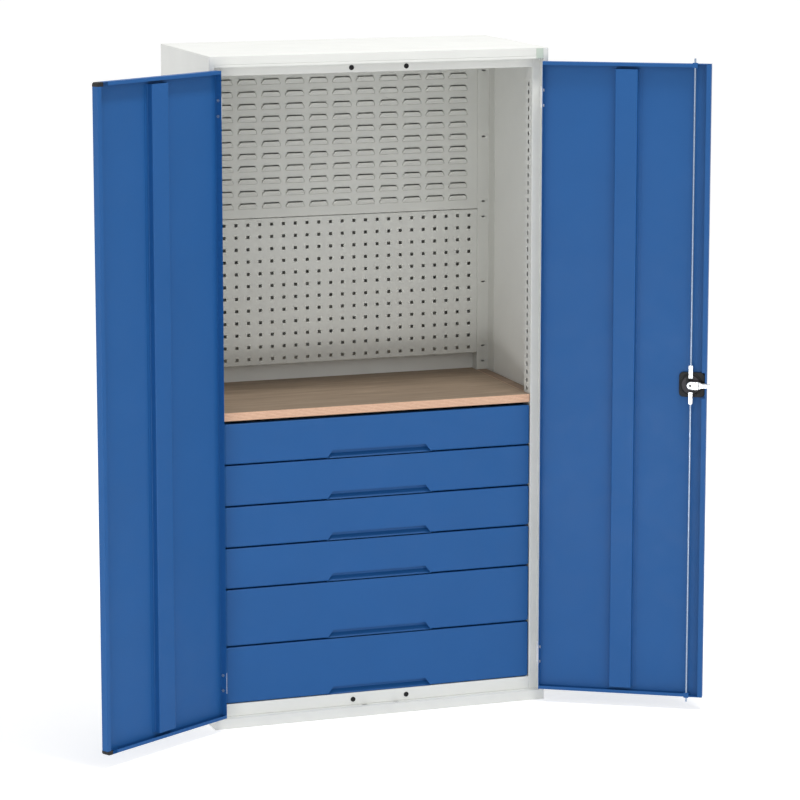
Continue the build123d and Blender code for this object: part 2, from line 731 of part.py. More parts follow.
def lock_cam():
    """Cam turned by the spindle: hub, edge tongue and the two pins that drive the rods."""
    x, z = LOCK_X, LOCK_Z
    hub_y = ROD_Y + HUB_FROM_RODS
    hub = cylinder_y(x, z, HUB_RADIUS, hub_y, hub_y + HUB_LENGTH)
    upper_edge = [
        (x, z + SHOULDER_HALF),
        (x - SHOULDER_LENGTH, z + SHOULDER_HALF),
        (x - TONGUE_ROOT, z + TONGUE_HALF),
        (x - TONGUE_LENGTH, z + TONGUE_HALF),
    ]
    lower_edge = [(u, 2 * z - v) for u, v in upper_edge[::-1]]
    outline = make_face(Polyline(*upper_edge, *lower_edge, close=True))
    tongue_y = hub_y + TONGUE_NEAR
    tongue = extrude(front_plane(0, tongue_y + TONGUE_THICKNESS, 0) * outline, TONGUE_THICKNESS)
    shoulder = box(
        x - SHOULDER_LENGTH, x, hub_y + SHOULDER_NEAR, hub_y + SHOULDER_FAR,
        z - SHOULDER_HALF, z + SHOULDER_HALF,
    )
    half = SPINDLE_SIZE / 2
    spindle = box(x - half, x + half, FRONT - SPINDLE_REACH, hub_y, z - half, z + half)
    pins = [
        cylinder_y(x + reach, z + reach, DRIVE_PIN_RADIUS, hub_y - DRIVE_PIN_LENGTH, hub_y)
        for reach in (-DRIVE_PIN_REACH, DRIVE_PIN_REACH)
    ]
    return only_solid(hub + shoulder + tongue + spindle + pins)


def rod_coupler():
    """Upper coupler: block that carries the rod, and a fork over one of the cam's pins."""
    x, y = LOCK_X, ROD_Y
    start, end = LOCK_Z + COUPLER_START, LOCK_Z + COUPLER_END
    root = LOCK_Z + FORK_ROOT
    block = box(
        x - COUPLER_HALF_WIDTH, x + COUPLER_HALF_WIDTH,
        y - COUPLER_HALF_DEPTH, y + COUPLER_HALF_DEPTH, start, end,
    )
    block = chamfer(block.faces().sort_by(Axis.Z)[-1].edges().filter_by(Axis.Y), COUPLER_CHAMFER)
    y0, y1 = y - FORK_HALF_DEPTH, y + FORK_HALF_DEPTH
    bridge = box(x, x + FORK_OUTER, y0, y1, start, root)
    leg = box(x + FORK_INNER, x + FORK_OUTER, y0, y1, LOCK_Z + FORK_TIP, root)
    pin_z = LOCK_Z + DRIVE_PIN_REACH
    gap = DRIVE_PIN_RADIUS + FORK_CLEARANCE
    slot = box(x, x + FORK_SLOT_END, y0, y1, pin_z - gap, pin_z + gap)
    return only_solid(block + bridge + leg - slot)


def upper_rod():
    """Upper rod, from its coupler to beyond the door's top."""
    return cylinder_z(LOCK_X, ROD_Y, ROD_RADIUS, LOCK_Z + COUPLER_END, DOOR_TOP + ROD_BEYOND_DOOR)


def turned_about_lock(shape):
    """The same piece turned half a turn about the lock's spindle."""
    return Pos(LOCK_X, 0, LOCK_Z) * Rot(0, 180, 0) * Pos(-LOCK_X, 0, -LOCK_Z) * shape


def lower_rod():
    """Lower rod, from its coupler to beyond the door's bottom."""
    return cylinder_z(LOCK_X, ROD_Y, ROD_RADIUS, DOOR_BOTTOM - ROD_BEYOND_DOOR, LOCK_Z - COUPLER_END)


def lock_handle():
    """Turning handle outside the door: a wing grip on a round neck."""
    x, z = LOCK_X, LOCK_Z
    grip_y = FRONT - HANDLE_PROJECTION
    neck = cylinder_y(x, z, NECK_RADIUS, grip_y + HANDLE_THICKNESS / 2, FRONT - HANDLE_GAP)
    half = HANDLE_LENGTH / 2
    right = [
        (HANDLE_TIP / 2, -half),
        (HANDLE_SHOULDER / 2, HANDLE_TAPER - half),
        (HANDLE_WIDTH / 2, 0),
        (HANDLE_SHOULDER / 2, half - HANDLE_TAPER),
        (HANDLE_TIP / 2, half),
    ]
    outline = make_face(Polyline(*right, *[(-u, -v) for u, v in right], close=True))
    grip = extrude(front_plane(x, grip_y + HANDLE_THICKNESS, z) * outline, HANDLE_THICKNESS)
    grip = chamfer(grip.faces().sort_by(Axis.Y)[0].edges(), HANDLE_CHAMFER)
    half_spindle = SPINDLE_SIZE / 2
    socket = box(
        x - half_spindle, x + half_spindle, FRONT - SPINDLE_REACH, FRONT,
        z - half_spindle, z + half_spindle,
    )
    return only_solid(neck + grip - socket)


def corner_plate():
    """Small plate on the front face of the cap's right corner."""
    return only_solid(box(
        CORNER_PLATE_FROM, CORNER_PLATE_TO, FRONT - CORNER_PLATE_THICKNESS, FRONT,
        CAP_BOTTOM - TOP_LIP, CORNER_PLATE_TOP,
    ))


# ---------------------------------------------------------------- writing

def write(name, solids):
    """Write one node: a single solid, or a group of separate ones."""
    solids = solids if isinstance(solids, list) else [solids]
    export_step(Compound(children=solids) if len(solids) > 1 else solids[0], f"parts/{name}.step")


def write_pair(name, solid):
    """Write a right-hand piece and its left-hand twin as two nodes."""
    write(f"right_{name}", solid)
    write(f"left_{name}", mirrored(solid))


def write_body():
    """Everything that stays still."""
    write("plinth", plinth())
    write("floor_pan", floor_pan())
    write("roof_cap", roof_cap())
    write("back_panel", back_panel())
    write("top_rail", top_rail())
    write("bottom_rail", bottom_rail())
    write_pair("side_panel", side_panel())
    write_pair("front_post", front_post())
    write_pair("rear_post", rear_post())
    write("perforated_panel", perforated_panel())
    write("louvre_panel", louvre_panel())
    write("worktop", worktop())
    write("worktop_brackets", both_sides([worktop_bracket()]))
    write("door_buffers", door_buffers())
    write("corner_plate", corner_plate())
    write("cabinet_runners", cabinet_runners())
    write("frame_hinge_leaves", both_sides(frame_hinges()))


def write_drawers():
    """Box, front and runner members of each drawer."""
    for name, bottom, height in drawer_layout():
        write(f"{name}_front", drawer_front(bottom, height))
        write(f"{name}_box", drawer_box(bottom, height))
        write(f"{name}_runners", drawer_runners(bottom))
        write(f"{name}_middle_runners", middle_runners(bottom))


def write_doors():
    """Both doors in their open position, and the lock on the right one."""
    shared = {
        "door_stiffener": [stiffener()],
        "door_hinge_leaves": door_hinges(),
        "door_hinge_nuts": hinge_nuts(),
    }
    for name, solids in shared.items():
        opened = [swing_open(s) for s in solids]
        write(f"right_{name}", opened)
        write(f"left_{name}", [mirrored(s) for s in opened])
    write("right_door_pan", swing_open(lock_door_pan()))
    write("left_door_pan", mirrored(swing_open(capped_door_pan())))
    write("left_door_corner_caps", [mirrored(swing_open(cap)) for cap in corner_caps()])
    lock = {
        "lock_plate": [lock_plate()],
        "lock_handle": [lock_handle()],
        "lock_cam": [lock_cam()],
        "upper_rod": [upper_rod()],
        "lower_rod": [lower_rod()],
        "upper_rod_coupler": [rod_coupler()],
        "lower_rod_coupler": [turned_about_lock(rod_coupler())],
    }
    for name, solids in lock.items():
        write(name, [swing_open(s) for s in solids])


write_body()
write_drawers()
write_doors()
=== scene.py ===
import json
import math

import bmesh
import bpy
from mathutils import Matrix, Vector


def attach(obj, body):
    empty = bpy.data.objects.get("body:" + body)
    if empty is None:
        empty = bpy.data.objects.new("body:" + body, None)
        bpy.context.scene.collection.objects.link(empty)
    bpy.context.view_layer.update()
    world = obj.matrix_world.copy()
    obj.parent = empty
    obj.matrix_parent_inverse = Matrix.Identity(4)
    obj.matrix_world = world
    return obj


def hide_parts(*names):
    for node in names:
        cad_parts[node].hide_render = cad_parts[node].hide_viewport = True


# Looks of the tool cabinet. Shapes here are written in millimetres in the model's frame
# (x to the right, y away from the viewer, z up) and turned into metres when they are placed.

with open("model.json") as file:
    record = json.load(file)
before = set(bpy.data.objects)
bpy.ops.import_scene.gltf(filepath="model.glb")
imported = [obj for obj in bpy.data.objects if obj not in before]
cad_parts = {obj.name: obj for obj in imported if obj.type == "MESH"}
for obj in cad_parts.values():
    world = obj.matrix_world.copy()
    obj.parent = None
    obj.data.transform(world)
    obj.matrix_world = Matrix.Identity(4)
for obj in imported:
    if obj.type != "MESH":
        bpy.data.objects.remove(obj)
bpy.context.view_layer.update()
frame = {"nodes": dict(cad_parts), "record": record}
NODES = frame["nodes"]

# ---- dimensions shared with the CAD model, mm ----
SIDE, FRONT, BACK = 525.0, -262.5, 262.5
SHEET = 1.5
FRAME_Y = -237.5
POST_X = 484.0
REAR_POST_Y = 222.5
CAP_BOTTOM = 1975.0
PLINTH = 30.0
PANEL_WIDTH, PANEL_HEIGHT = 968.0, 457.0
PERFORATED_BOTTOM = 1003.0
LOUVRE_BOTTOM = PERFORATED_BOTTOM + PANEL_HEIGHT
AXIS_X, AXIS_Y = 506.5, -265.0
DOOR_OPEN = math.radians(149)
LOCK_X, LOCK_Z, ROD_Y = 50.0, 1000.0, -244.5
DOOR_INNER_Y = FRONT + 22.5
DOOR_BOTTOM, DOOR_TOP = 40.0, 1960.0
DOOR_FREE_X, DOOR_HINGE_X, DOOR_SHEET = 2.0, 504.0, 1.2
POST_RETURN, POST_HEM = 55, 36                  # a front post's inward return and rear lip
TOP_RAIL_BOTTOM, BOTTOM_RAIL_TOP = 1940, 68
RAIL_RETURN, RAIL_HEM = 30, 12
PANEL_SHEET = 1.2
COUPLER_START, COUPLER_END, ROD_START = 20.5, 60, 59    # from the lock's centre
ROD_BEYOND_DOOR = 16

MM = Matrix.Scale(0.001, 4)
OPEN_RIGHT = (
    Matrix.Translation((AXIS_X, AXIS_Y, 0))
    @ Matrix.Rotation(DOOR_OPEN, 4, "Z")
    @ Matrix.Translation((-AXIS_X, -AXIS_Y, 0))
)
MIRROR = Matrix.Scale(-1, 4, (1, 0, 0))


# -------------------------------------------------- materials

def linear(rgb):
    """sRGB 0-255 to the linear values that shaders take."""
    out = []
    for value in rgb:
        c = value / 255
        out.append(c / 12.92 if c <= 0.04045 else ((c + 0.055) / 1.055) ** 2.4)
    return (*out, 1)


class Nodes:
    """A short way to build a node tree."""

    def __init__(self, name):
        self.material = bpy.data.materials.new(name)
        self.material.use_nodes = True
        self.tree = self.material.node_tree
        self.shader = self.tree.nodes["Principled BSDF"]

    def add(self, kind, inputs=None, **settings):
        node = self.tree.nodes.new(kind)
        for key, value in settings.items():
            setattr(node, key, value)
        for key, value in (inputs or {}).items():
            self.put(node, key, value)
        return node

    def put(self, node, key, value):
        if isinstance(value, bpy.types.NodeSocket):
            self.tree.links.new(value, node.inputs[key])
        else:
            node.inputs[key].default_value = value

    def set(self, key, value):
        self.put(self.shader, key, value)

    def place(self, scale=(1, 1, 1), rotation=(0, 0, 0)):
        """Object coordinates, in metres, scaled and turned."""
        coords = self.add("ShaderNodeTexCoord")
        mapping = self.add("ShaderNodeMapping", {"Vector": coords.outputs["Object"]})
        mapping.inputs["Scale"].default_value = scale
        mapping.inputs["Rotation"].default_value = rotation
        return mapping.outputs["Vector"]

    def noise(self, vector, scale, detail=4, roughness=0.5, distortion=0):
        return self.add("ShaderNodeTexNoise", {
            "Vector": vector, "Scale": scale, "Detail": detail,
            "Roughness": roughness, "Distortion": distortion,
        }).outputs["Fac"]

    def ramp(self, value, low, high, low_at=0.0, high_at=1.0):
        node = self.add("ShaderNodeMapRange", {
            "Value": value, "From Min": low_at, "From Max": high_at, "To Min": low, "To Max": high,
        })
        return node.outputs["Result"]

    def mix(self, factor, a, b, blend="MIX"):
        node = self.add("ShaderNodeMix", data_type="RGBA", blend_type=blend)
        for key, value in ((0, factor), (6, a), (7, b)):
            self.put(node, key, value)
        return node.outputs[2]

    def bump(self, height, strength, distance):
        return self.add("ShaderNodeBump", {
            "Height": height, "Strength": strength, "Distance": distance,
        }).outputs["Normal"]


def powder_coat(name, rgb, roughness=0.42, variation=0.025):
    """Powder-coated sheet: orange-peel texture, faint mottling and handling marks."""
    m = Nodes(name)
    at = m.place()
    base = linear(rgb)
    darker = tuple(c * (1 - 2 * variation) for c in base[:3]) + (1,)
    mottle = m.noise(at, 5, 5, 0.6)
    m.set("Base Color", m.mix(m.ramp(mottle, 0, 1, 0.3, 0.7), darker, base))
    smudge = m.noise(at, 14, 6, 0.65, 0.4)
    m.set("Roughness", m.ramp(smudge, roughness - 0.06, roughness + 0.08, 0.3, 0.7))
    peel = m.noise(at, 620, 2, 0.4)
    m.set("Normal", m.bump(peel, 0.12, 0.0004))
    m.set("Specular IOR Level", 0.22)
    return m.material


def zinc(name, rgb=(206, 208, 211), roughness=0.28):
    """Bright zinc plate with fine spangle and draw marks."""
    m = Nodes(name)
    at = m.place()
    spangle = m.add("ShaderNodeTexVoronoi", {"Vector": at, "Scale": 240}).outputs["Distance"]
    marks = m.noise(m.place(scale=(1, 1, 0.04)), 900, 3, 0.6)
    base = linear(rgb)
    dull = tuple(c * 0.82 for c in base[:3]) + (1,)
    m.set("Base Color", m.mix(m.ramp(spangle, 0, 1, 0.1, 0.7), base, dull))
    m.set("Metallic", 0.85)
    m.set("Roughness", m.ramp(marks, roughness - 0.05, roughness + 0.1, 0.3, 0.7))
    m.set("Normal", m.bump(marks, 0.08, 0.0002))
    return m.material


def moulded(name, rgb=(17, 18, 19), roughness=0.5):
    """Black moulded plastic with a fine spark-eroded grain."""
    m = Nodes(name)
    at = m.place()
    grain = m.noise(at, 1500, 3, 0.6)
    base = linear(rgb)
    worn = tuple(c * 1.5 for c in base[:3]) + (1,)
    m.set("Base Color", m.mix(m.ramp(m.noise(at, 60, 4), 0, 1, 0.4, 0.75), base, worn))
    m.set("Roughness", m.ramp(grain, roughness - 0.05, roughness + 0.08, 0.3, 0.7))
    m.set("Specular IOR Level", 0.3)
    m.set("Normal", m.bump(grain, 0.25, 0.0003))
    return m.material


def rubber(name):
    """Matt black rubber."""
    m = Nodes(name)
    at = m.place()
    bloom = m.noise(at, 220, 5, 0.7)
    m.set("Base Color",
          m.mix(m.ramp(bloom, 0, 1, 0.35, 0.75), linear((22, 22, 23)), linear((40, 40, 41))))
    m.set("Roughness", 0.82)
    m.set("Specular IOR Level", 0.25)
    m.set("Normal", m.bump(bloom, 0.2, 0.0003))
    return m.material


def veneer(name, light=(158, 138, 117), dark=(133, 115, 97)):
    """The worktop's faces: long soft grain along X under a matt seal."""
    m = Nodes(name)
    along = m.place(scale=(0.9, 11, 6))
    wave = m.noise(along, 3.2, 6, 0.62, 0.9)
    fine = m.noise(m.place(scale=(2.2, 60, 60)), 9, 5, 0.7)
    colour = m.mix(m.ramp(wave, 0, 1, 0.35, 0.68), linear(dark), linear(light))
    colour = m.mix(m.ramp(fine, 0.0, 0.35, 0.45, 0.8), colour, linear((118, 98, 80)))
    m.set("Base Color", colour)
    m.set("Roughness", m.ramp(fine, 0.5, 0.64, 0.3, 0.7))
    m.set("Specular IOR Level", 0.3)
    m.set("Normal", m.bump(fine, 0.2, 0.0004))
    return m.material


def plies(name):
    """The worktop's edges: thin plies, alternately along and across the grain."""
    m = Nodes(name)
    at = m.place()
    split = m.add("ShaderNodeSeparateXYZ", {"Vector": at})
    wobble = m.noise(m.place(scale=(3, 3, 1)), 6, 3)
    height = m.add("ShaderNodeMath", {
        0: split.outputs["Z"], 1: m.ramp(wobble, -0.0004, 0.0004)}, operation="ADD").outputs[0]
    wave = m.add("ShaderNodeMath", {0: height, 1: 2 * math.pi / 0.0042},
                 operation="MULTIPLY").outputs[0]
    layer = m.add("ShaderNodeMath", {0: wave}, operation="SINE").outputs[0]
    streak = m.noise(m.place(scale=(40, 40, 260), rotation=(0, 0.5, 0)), 2.2, 5, 0.7)
    light, dark = linear((232, 196, 168)), linear((205, 163, 136))
    colour = m.mix(m.ramp(layer, 0, 1, -0.6, 0.6), dark, light)
    colour = m.mix(m.ramp(streak, 0, 0.55, 0.45, 0.72), colour, linear((180, 132, 106)))
    m.set("Base Color", colour)
    m.set("Roughness", 0.6)
    m.set("Specular IOR Level", 0.3)
    m.set("Normal", m.bump(streak, 0.3, 0.0004))
    return m.material


GREY = powder_coat("light_grey_coat", (228, 229, 225))
# a darker copy of the light grey coat for the tool panels and rear posts: painted shade for the
# inside of the cabinet
PANEL_GREY_PAINTED_SHADE = powder_coat("panel_grey_coat_painted_shade", (212, 213, 208))
BLUE = powder_coat("blue_coat", (33, 89, 150), 0.44)
DRAWER_GREY = powder_coat("drawer_grey_coat", (205, 207, 203))
HINGE_WHITE = powder_coat("hinge_white_coat", (243, 244, 243), 0.36)
PALE_GREEN = powder_coat("pale_green_coat", (196, 208, 196), 0.36)
ZINC = zinc("bright_zinc")
# a blue-tinted copy of the zinc for the rods: painted reflection of the blue door
ROD_ZINC_BLUE_REFLECTION = zinc("drawn_zinc_painted_blue_reflection", (158, 174, 196), 0.3)
BLACK = moulded("black_moulding")
GRAPHITE = moulded("graphite_moulding", (52, 49, 52), 0.45)
RUBBER = rubber("black_rubber")
VENEER = veneer("plywood_face")
END_VENEER = veneer("plywood_end_strip", (155, 132, 113), (131, 110, 93))
PLIES = plies("plywood_edge")

BY_SLOT = {
    "grey_paint": GREY, "blue_paint": BLUE, "drawer_paint": DRAWER_GREY, "hinge_paint": HINGE_WHITE,
    "zinc_steel": ZINC, "plywood": VENEER, "black_rubber": RUBBER, "black_plastic": BLACK,
    "plate_paint": PALE_GREEN,
}


def dress_nodes():
    """Each CAD node takes the finish of its record slot."""
    for part in frame["record"]["subparts"]:
        mesh = NODES[part["node"]].data
        mesh.materials.clear()
        mesh.materials.append(BY_SLOT[part["material_slot"]])


# -------------------------------------------------- shapes, drawn in mm

def arc(centre, radius, start, end, steps=4):
    """Points on an arc in 2-D; angles in degrees, both ends included."""
    points = []
    for i in range(steps + 1):
        a = math.radians(start + (end - start) * i / steps)
        points.append((centre[0] + radius * math.cos(a), centre[1] + radius * math.sin(a)))
    return points


def round_rect(x0, x1, z0, z1, radius, steps=3):
    """A rectangle with rounded corners, anticlockwise."""
    r = min(radius, (x1 - x0) / 2 - 0.01, (z1 - z0) / 2 - 0.01)
    return (
        arc((x1 - r, z0 + r), r, -90, 0, steps) + arc((x1 - r, z1 - r), r, 0, 90, steps)
        + arc((x0 + r, z1 - r), r, 90, 180, steps) + arc((x0 + r, z0 + r), r, 180, 270, steps)
    )


def add_loop(bm, points):
    """A closed loop of vertices and edges through 3-D points."""
    verts = [bm.verts.new(p) for p in points]
    return [bm.edges.new((a, b)) for a, b in zip(verts, verts[1:] + verts[:1])]


def fill_plate(bm, outline, holes, to_3d):
    """Flat faces inside the outline, less the holes, facing the outline's anticlockwise side."""
    edges = add_loop(bm, [to_3d(p) for p in outline])
    for hole in holes:
        edges += add_loop(bm, [to_3d(p) for p in hole])
    made = bmesh.ops.triangle_fill(bm, use_beauty=True, use_dissolve=False, edges=edges)
    faces = [g for g in made["geom"] if isinstance(g, bmesh.types.BMFace)]
    a, b, c = (Vector(to_3d(p)) for p in ((0, 0), (1, 0), (0, 1)))
    normal = (b - a).cross(c - a)
    for face in faces:
        if face.normal.dot(normal) < 0:
            face.normal_flip()
    return faces


def sheet_path(points, radius, thickness, steps=4):
    """A folded path as runs and bends. Each run is (start, end); each bend is a list of points."""
    runs, bends = [], []
    pts = [Vector(p) for p in points]
    trims = [0.0]
    arcs = []
    for before, corner, after in zip(pts, pts[1:], pts[2:]):
        a, b = (corner - before).normalized(), (after - corner).normalized()
        turn = a.x * b.y - a.y * b.x
        angle = math.atan2(turn, a.dot(b))
        r = radius if turn > 0 else max(radius - thickness, 0.4)
        trim = r * math.tan(abs(angle) / 2)
        start = corner - a * trim
        side = Vector((-a.y, a.x)) * (1 if turn > 0 else -1)
        centre = start + side * r
        spokes = []
        for i in range(steps + 1):
            t = angle * i / steps
            spoke = start - centre
            c, s = math.cos(t), math.sin(t)
            spokes.append(centre + Vector((spoke.x * c - spoke.y * s, spoke.x * s + spoke.y * c)))
        arcs.append(spokes)
        trims.append(trim)
    trims.append(0.0)
    for i, (start, end) in enumerate(zip(pts, pts[1:])):
        way = (end - start).normalized()
        runs.append((start + way * trims[i], end - way * trims[i + 1]))
    return runs, arcs


def folded_sheet(points, radius, thickness, z0, z1, holes=None):
    """A sheet standing along Z, folded through the X, Y points, thickened to the path's left.

    holes maps a run's number to loops of (distance along the run from its corner, z).
    """
    bm = bmesh.new()
    runs, bends = sheet_path(points, radius, thickness)
    for number, (start, end) in enumerate(runs):
        corner = Vector(points[number])
        way = (end - start).normalized()
        s0, s1 = (start - corner).dot(way), (end - corner).dot(way)
        outline = [(s0, z0), (s1, z0), (s1, z1), (s0, z1)]
        fill_plate(bm, outline, (holes or {}).get(number, []),
                   lambda p, c=corner, w=way: (*(c + w * p[0]), p[1]))
    for bend in bends:
        low = [bm.verts.new((*p, z0)) for p in bend]
        high = [bm.verts.new((*p, z1)) for p in bend]
        for a, b, c, d in zip(low, low[1:], high[1:], high):
            bm.faces.new((a, b, c, d))
    bmesh.ops.remove_doubles(bm, verts=bm.verts, dist=0.01)
    return thicken(bm, thickness)


def thicken(bm, thickness):
    """The sheet's mesh with its thickness added behind its faces."""
    mesh = bpy.data.meshes.new("sheet")
    bm.to_mesh(mesh)
    bm.free()
    carrier = bpy.data.objects.new("sheet", mesh)
    bpy.context.scene.collection.objects.link(carrier)
    solidify = carrier.modifiers.new("thickness", "SOLIDIFY")
    solidify.thickness = thickness
    solidify.offset = -1
    solidify.use_even_offset = True
    solid = bpy.data.meshes.new_from_object(
        carrier.evaluated_get(bpy.context.evaluated_depsgraph_get()))
    bpy.data.objects.remove(carrier)
    bpy.data.meshes.remove(mesh)
    return solid


def cut(mesh, boxes):
    """Takes boxes, each x0, x1, y0, y1, z0, z1, out of a closed mesh."""
    body = bpy.data.objects.new("body", mesh)
    bpy.context.scene.collection.objects.link(body)
    tools = []
    for x0, x1, y0, y1, z0, z1 in boxes:
        bm = bmesh.new()
        for vert in bmesh.ops.create_cube(bm, size=1)["verts"]:
            x, y, z = vert.co
            vert.co = (x0 + (x + 0.5) * (x1 - x0), y0 + (y + 0.5) * (y1 - y0),
                       z0 + (z + 0.5) * (z1 - z0))
        tool = bpy.data.objects.new("tool", mesh_of(bm))
        bpy.context.scene.collection.objects.link(tool)
        modifier = body.modifiers.new("cut", "BOOLEAN")
        modifier.operation, modifier.solver, modifier.object = "DIFFERENCE", "EXACT", tool
        tools.append(tool)
    depsgraph = bpy.context.evaluated_depsgraph_get()
    result = bpy.data.meshes.new_from_object(body.evaluated_get(depsgraph))
    for used in [body] + tools:
        spent = used.data
        bpy.data.objects.remove(used)
        bpy.data.meshes.remove(spent)
    return result


def piece(name, mesh, body, materials, matrix=None, sharp=32, weighted=True):
    """A finished object: mm to metres, smooth shading with sharp edges, riding on a body."""
    mesh.name = name
    mesh.transform((MM @ matrix) if matrix is not None else MM)
    if matrix is not None and matrix.determinant() < 0:
        mesh.flip_normals()
    for material in materials:
        mesh.materials.append(material)
    for polygon in mesh.polygons:
        polygon.use_smooth = True
    mesh.set_sharp_from_angle(angle=math.radians(sharp))
    made = bpy.data.objects.new(name, mesh)
    bpy.context.scene.collection.objects.link(made)
    if weighted:
        normals = made.modifiers.new("weighted_normals", "WEIGHTED_NORMAL")
        normals.keep_sharp = True
        normals.weight = 80
    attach(made, body)
    return made


def mesh_of(bm, name="part"):
    """The finished mesh of a bmesh, which is freed."""
    mesh = bpy.data.meshes.new(name)
    bm.to_mesh(mesh)
    bm.free()
    return mesh


def prism(outline, y0, y1, bevel=0.0, segments=2):
    """A solid whose outline is drawn in X, Z, between two depths, with rounded edges."""
    bm = bmesh.new()
    verts = [bm.verts.new((x, y0, z)) for x, z in outline]
    face = bm.faces.new(verts)
    made = bmesh.ops.extrude_face_region(bm, geom=[face])
    moved = [g for g in made["geom"] if isinstance(g, bmesh.types.BMVert)]
    bmesh.ops.translate(bm, verts=moved, vec=(0, y1 - y0, 0))
    bmesh.ops.recalc_face_normals(bm, faces=bm.faces)
    if bevel:
        rims = [e for e in bm.edges if len(e.link_faces) == 2 and e.calc_face_angle(0) > 0.6]
        bmesh.ops.bevel(bm, geom=rims, offset=bevel, segments=segments, profile=0.5,
                        affect="EDGES", clamp_overlap=True)
    return bm


# -------------------------------------------------- posts

def slot_loop(x, z, width, height):
    """A slot with round ends, upright or level."""
    return round_rect(x - width / 2, x + width / 2, z - height / 2, z + height / 2,
                      min(width, height) / 2, 4)


def ring(x, z, radius, steps=10):
    """A closed circle's points, without the last one that would meet the first."""
    return arc((x, z), radius, 0, 360 * (1 - 1 / steps), steps - 1)


def make_front_posts():
    """Posts behind the doors, with a column of slots and small holes for shelf clips."""
    path = [(POST_X + POST_HEM, FRAME_Y + POST_RETURN), (POST_X, FRAME_Y + POST_RETURN),
            (POST_X, FRAME_Y),
            (SIDE - SHEET, FRAME_Y)]
    holes = []
    for i in range(38):
        holes.append(slot_loop(24, 962.5 + 25 * i, 12, 15))
    for i in range(37):
        holes.append(ring(42, 975 + 25 * i, 1.7))
    for side, matrix in (("right", None), ("left", MIRROR)):
        mesh = folded_sheet(path, 2.5, SHEET, PLINTH, CAP_BOTTOM - SHEET, {1: holes})
        post = piece(f"{side}_front_post_slotted", mesh, "cabinet", [GREY], matrix)
        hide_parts(f"{side}_front_post")


def make_rear_posts():
    """Rear posts with the hooks' slots and a flange along the side wall."""
    side_x = SIDE - SHEET - 0.1
    path = [
        (POST_X, BACK - 2 * SHEET), (POST_X, REAR_POST_Y), (side_x - SHEET, REAR_POST_Y),
        (side_x - SHEET, REAR_POST_Y - 48),
    ]
    dashes = [slot_loop(20, z, 12, 4.5) for z in (1893, 1687, 1483, 1435, 1229, 1025, 976)]
    upright = [slot_loop(BACK - 2 * SHEET - 240, 982.5, 5, 15)]
    for side, matrix in (("right", None), ("left", MIRROR)):
        mesh = folded_sheet(path, 2.2, SHEET, PLINTH, CAP_BOTTOM, {0: upright, 1: dashes})
        # the rear posts take the darker grey: painted shade for the recess beside the side wall
        post = piece(f"{side}_rear_post_slotted", mesh, "cabinet", [PANEL_GREY_PAINTED_SHADE],
                     matrix)
        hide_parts(f"{side}_rear_post")


# -------------------------------------------------- tool panels

# one louvre: heights of its rows from its middle and the half width of its edge at each
HOOD_Z = (-9.4, -8.9, -7.7, -7.1, -4.6, -1.6, 1.6, 4.0, 6.0)
HOOD_HALF = (27.0, 29.4, 31.0, 31.4, 31.6, 31.0, 29.2, 27.2, 25.2)
HOOD_INSET = (0, 0.5, 1.6, 2.2, 3.6, 5.6, 11.0)
HOOD_MOUTH = (24.2, 9.6)      # half width and height of the opening's top edge
HOOD_RISE = 7.0
HOOD_CHEEK = 5.0
HOOD_GROOVE = 1.8             # depth of the crease round the louvre's foot


def hood_point(row, column):
    """A point of one louvre's skin from its middle: a wedge with slanted cheeks, open on top."""
    z, half = HOOD_Z[row], HOOD_HALF[row]
    last = 2 * len(HOOD_INSET)
    inset = (HOOD_INSET + (half,) + HOOD_INSET[::-1])[column]
    x = (half - inset) * (-1 if column <= last / 2 else 1)
    slope = min(inset / HOOD_CHEEK, 1)
    climb = (z - HOOD_Z[0]) / (HOOD_Z[-1] - HOOD_Z[0])
    lift = HOOD_RISE * climb ** 0.8 * (1 - (1 - slope) ** 2)
    if row in (1, 2) or (row > 0 and column in (1, 2, last - 2, last - 1)):
        lift = -HOOD_GROOVE if row < len(HOOD_Z) - 1 else 0
    return (x, 0, z) if row == 0 or column in (0, last) else (x, -lift, z)


def hood_outline():
    """The louvre's edge on the panel, anticlockwise from the opening's upper left."""
    last_row, last_column = len(HOOD_Z) - 1, 2 * len(HOOD_INSET)
    left = [hood_point(row, 0) for row in range(last_row, 0, -1)]
    bottom = [hood_point(0, column) for column in range(last_column + 1)]
    right = [hood_point(row, last_column) for row in range(1, last_row + 1)]
    mouth, top = HOOD_MOUTH
    edge = [(x, z) for x, _, z in left + bottom + right]
    return edge + [(mouth + 1.0, top - 0.7), (mouth, top), (-mouth, top), (-mouth - 1.0, top - 0.7)]


def tray(bm, bottom, half, holes, radius=2.0, flange=12):
    """A panel's face with holes and its edges bent back, corners left open."""
    bottom, top = bottom + 0.8, bottom + PANEL_HEIGHT - 0.8
    y0 = REAR_POST_Y
    x1, z0, z1 = half - radius, bottom + radius, top - radius
    outline = [(-x1, z0), (x1, z0), (x1, z1), (-x1, z1)]
    fill_plate(bm, outline, holes, lambda p: (p[0], y0, p[1]))
    steps = 4
    bend = []
    for i in range(steps + 1):
        a = math.radians(90 * i / steps)
        bend.append((radius * math.sin(a), radius * (1 - math.cos(a))))
    bend.append((radius, flange))
    for axis, sign in (("x", 1), ("x", -1), ("z", 1), ("z", -1)):
        rows = []
        for out, back in bend:
            if axis == "x":
                ends = ((sign * (x1 + out), y0 + back, z0), (sign * (x1 + out), y0 + back, z1))
            else:
                z = z1 + out if sign > 0 else z0 - out
                ends = ((-x1, y0 + back, z), (x1, y0 + back, z))
            rows.append([bm.verts.new(e) for e in ends])
        for (a, b), (c, d) in zip(rows, rows[1:]):
            face = bm.faces.new((a, b, d, c))
            face.normal_update()
            outward = Vector((sign, -1, 0)) if axis == "x" else Vector((0, -1, sign))
            if face.normal.dot(outward) < 0:
                face.normal_flip()


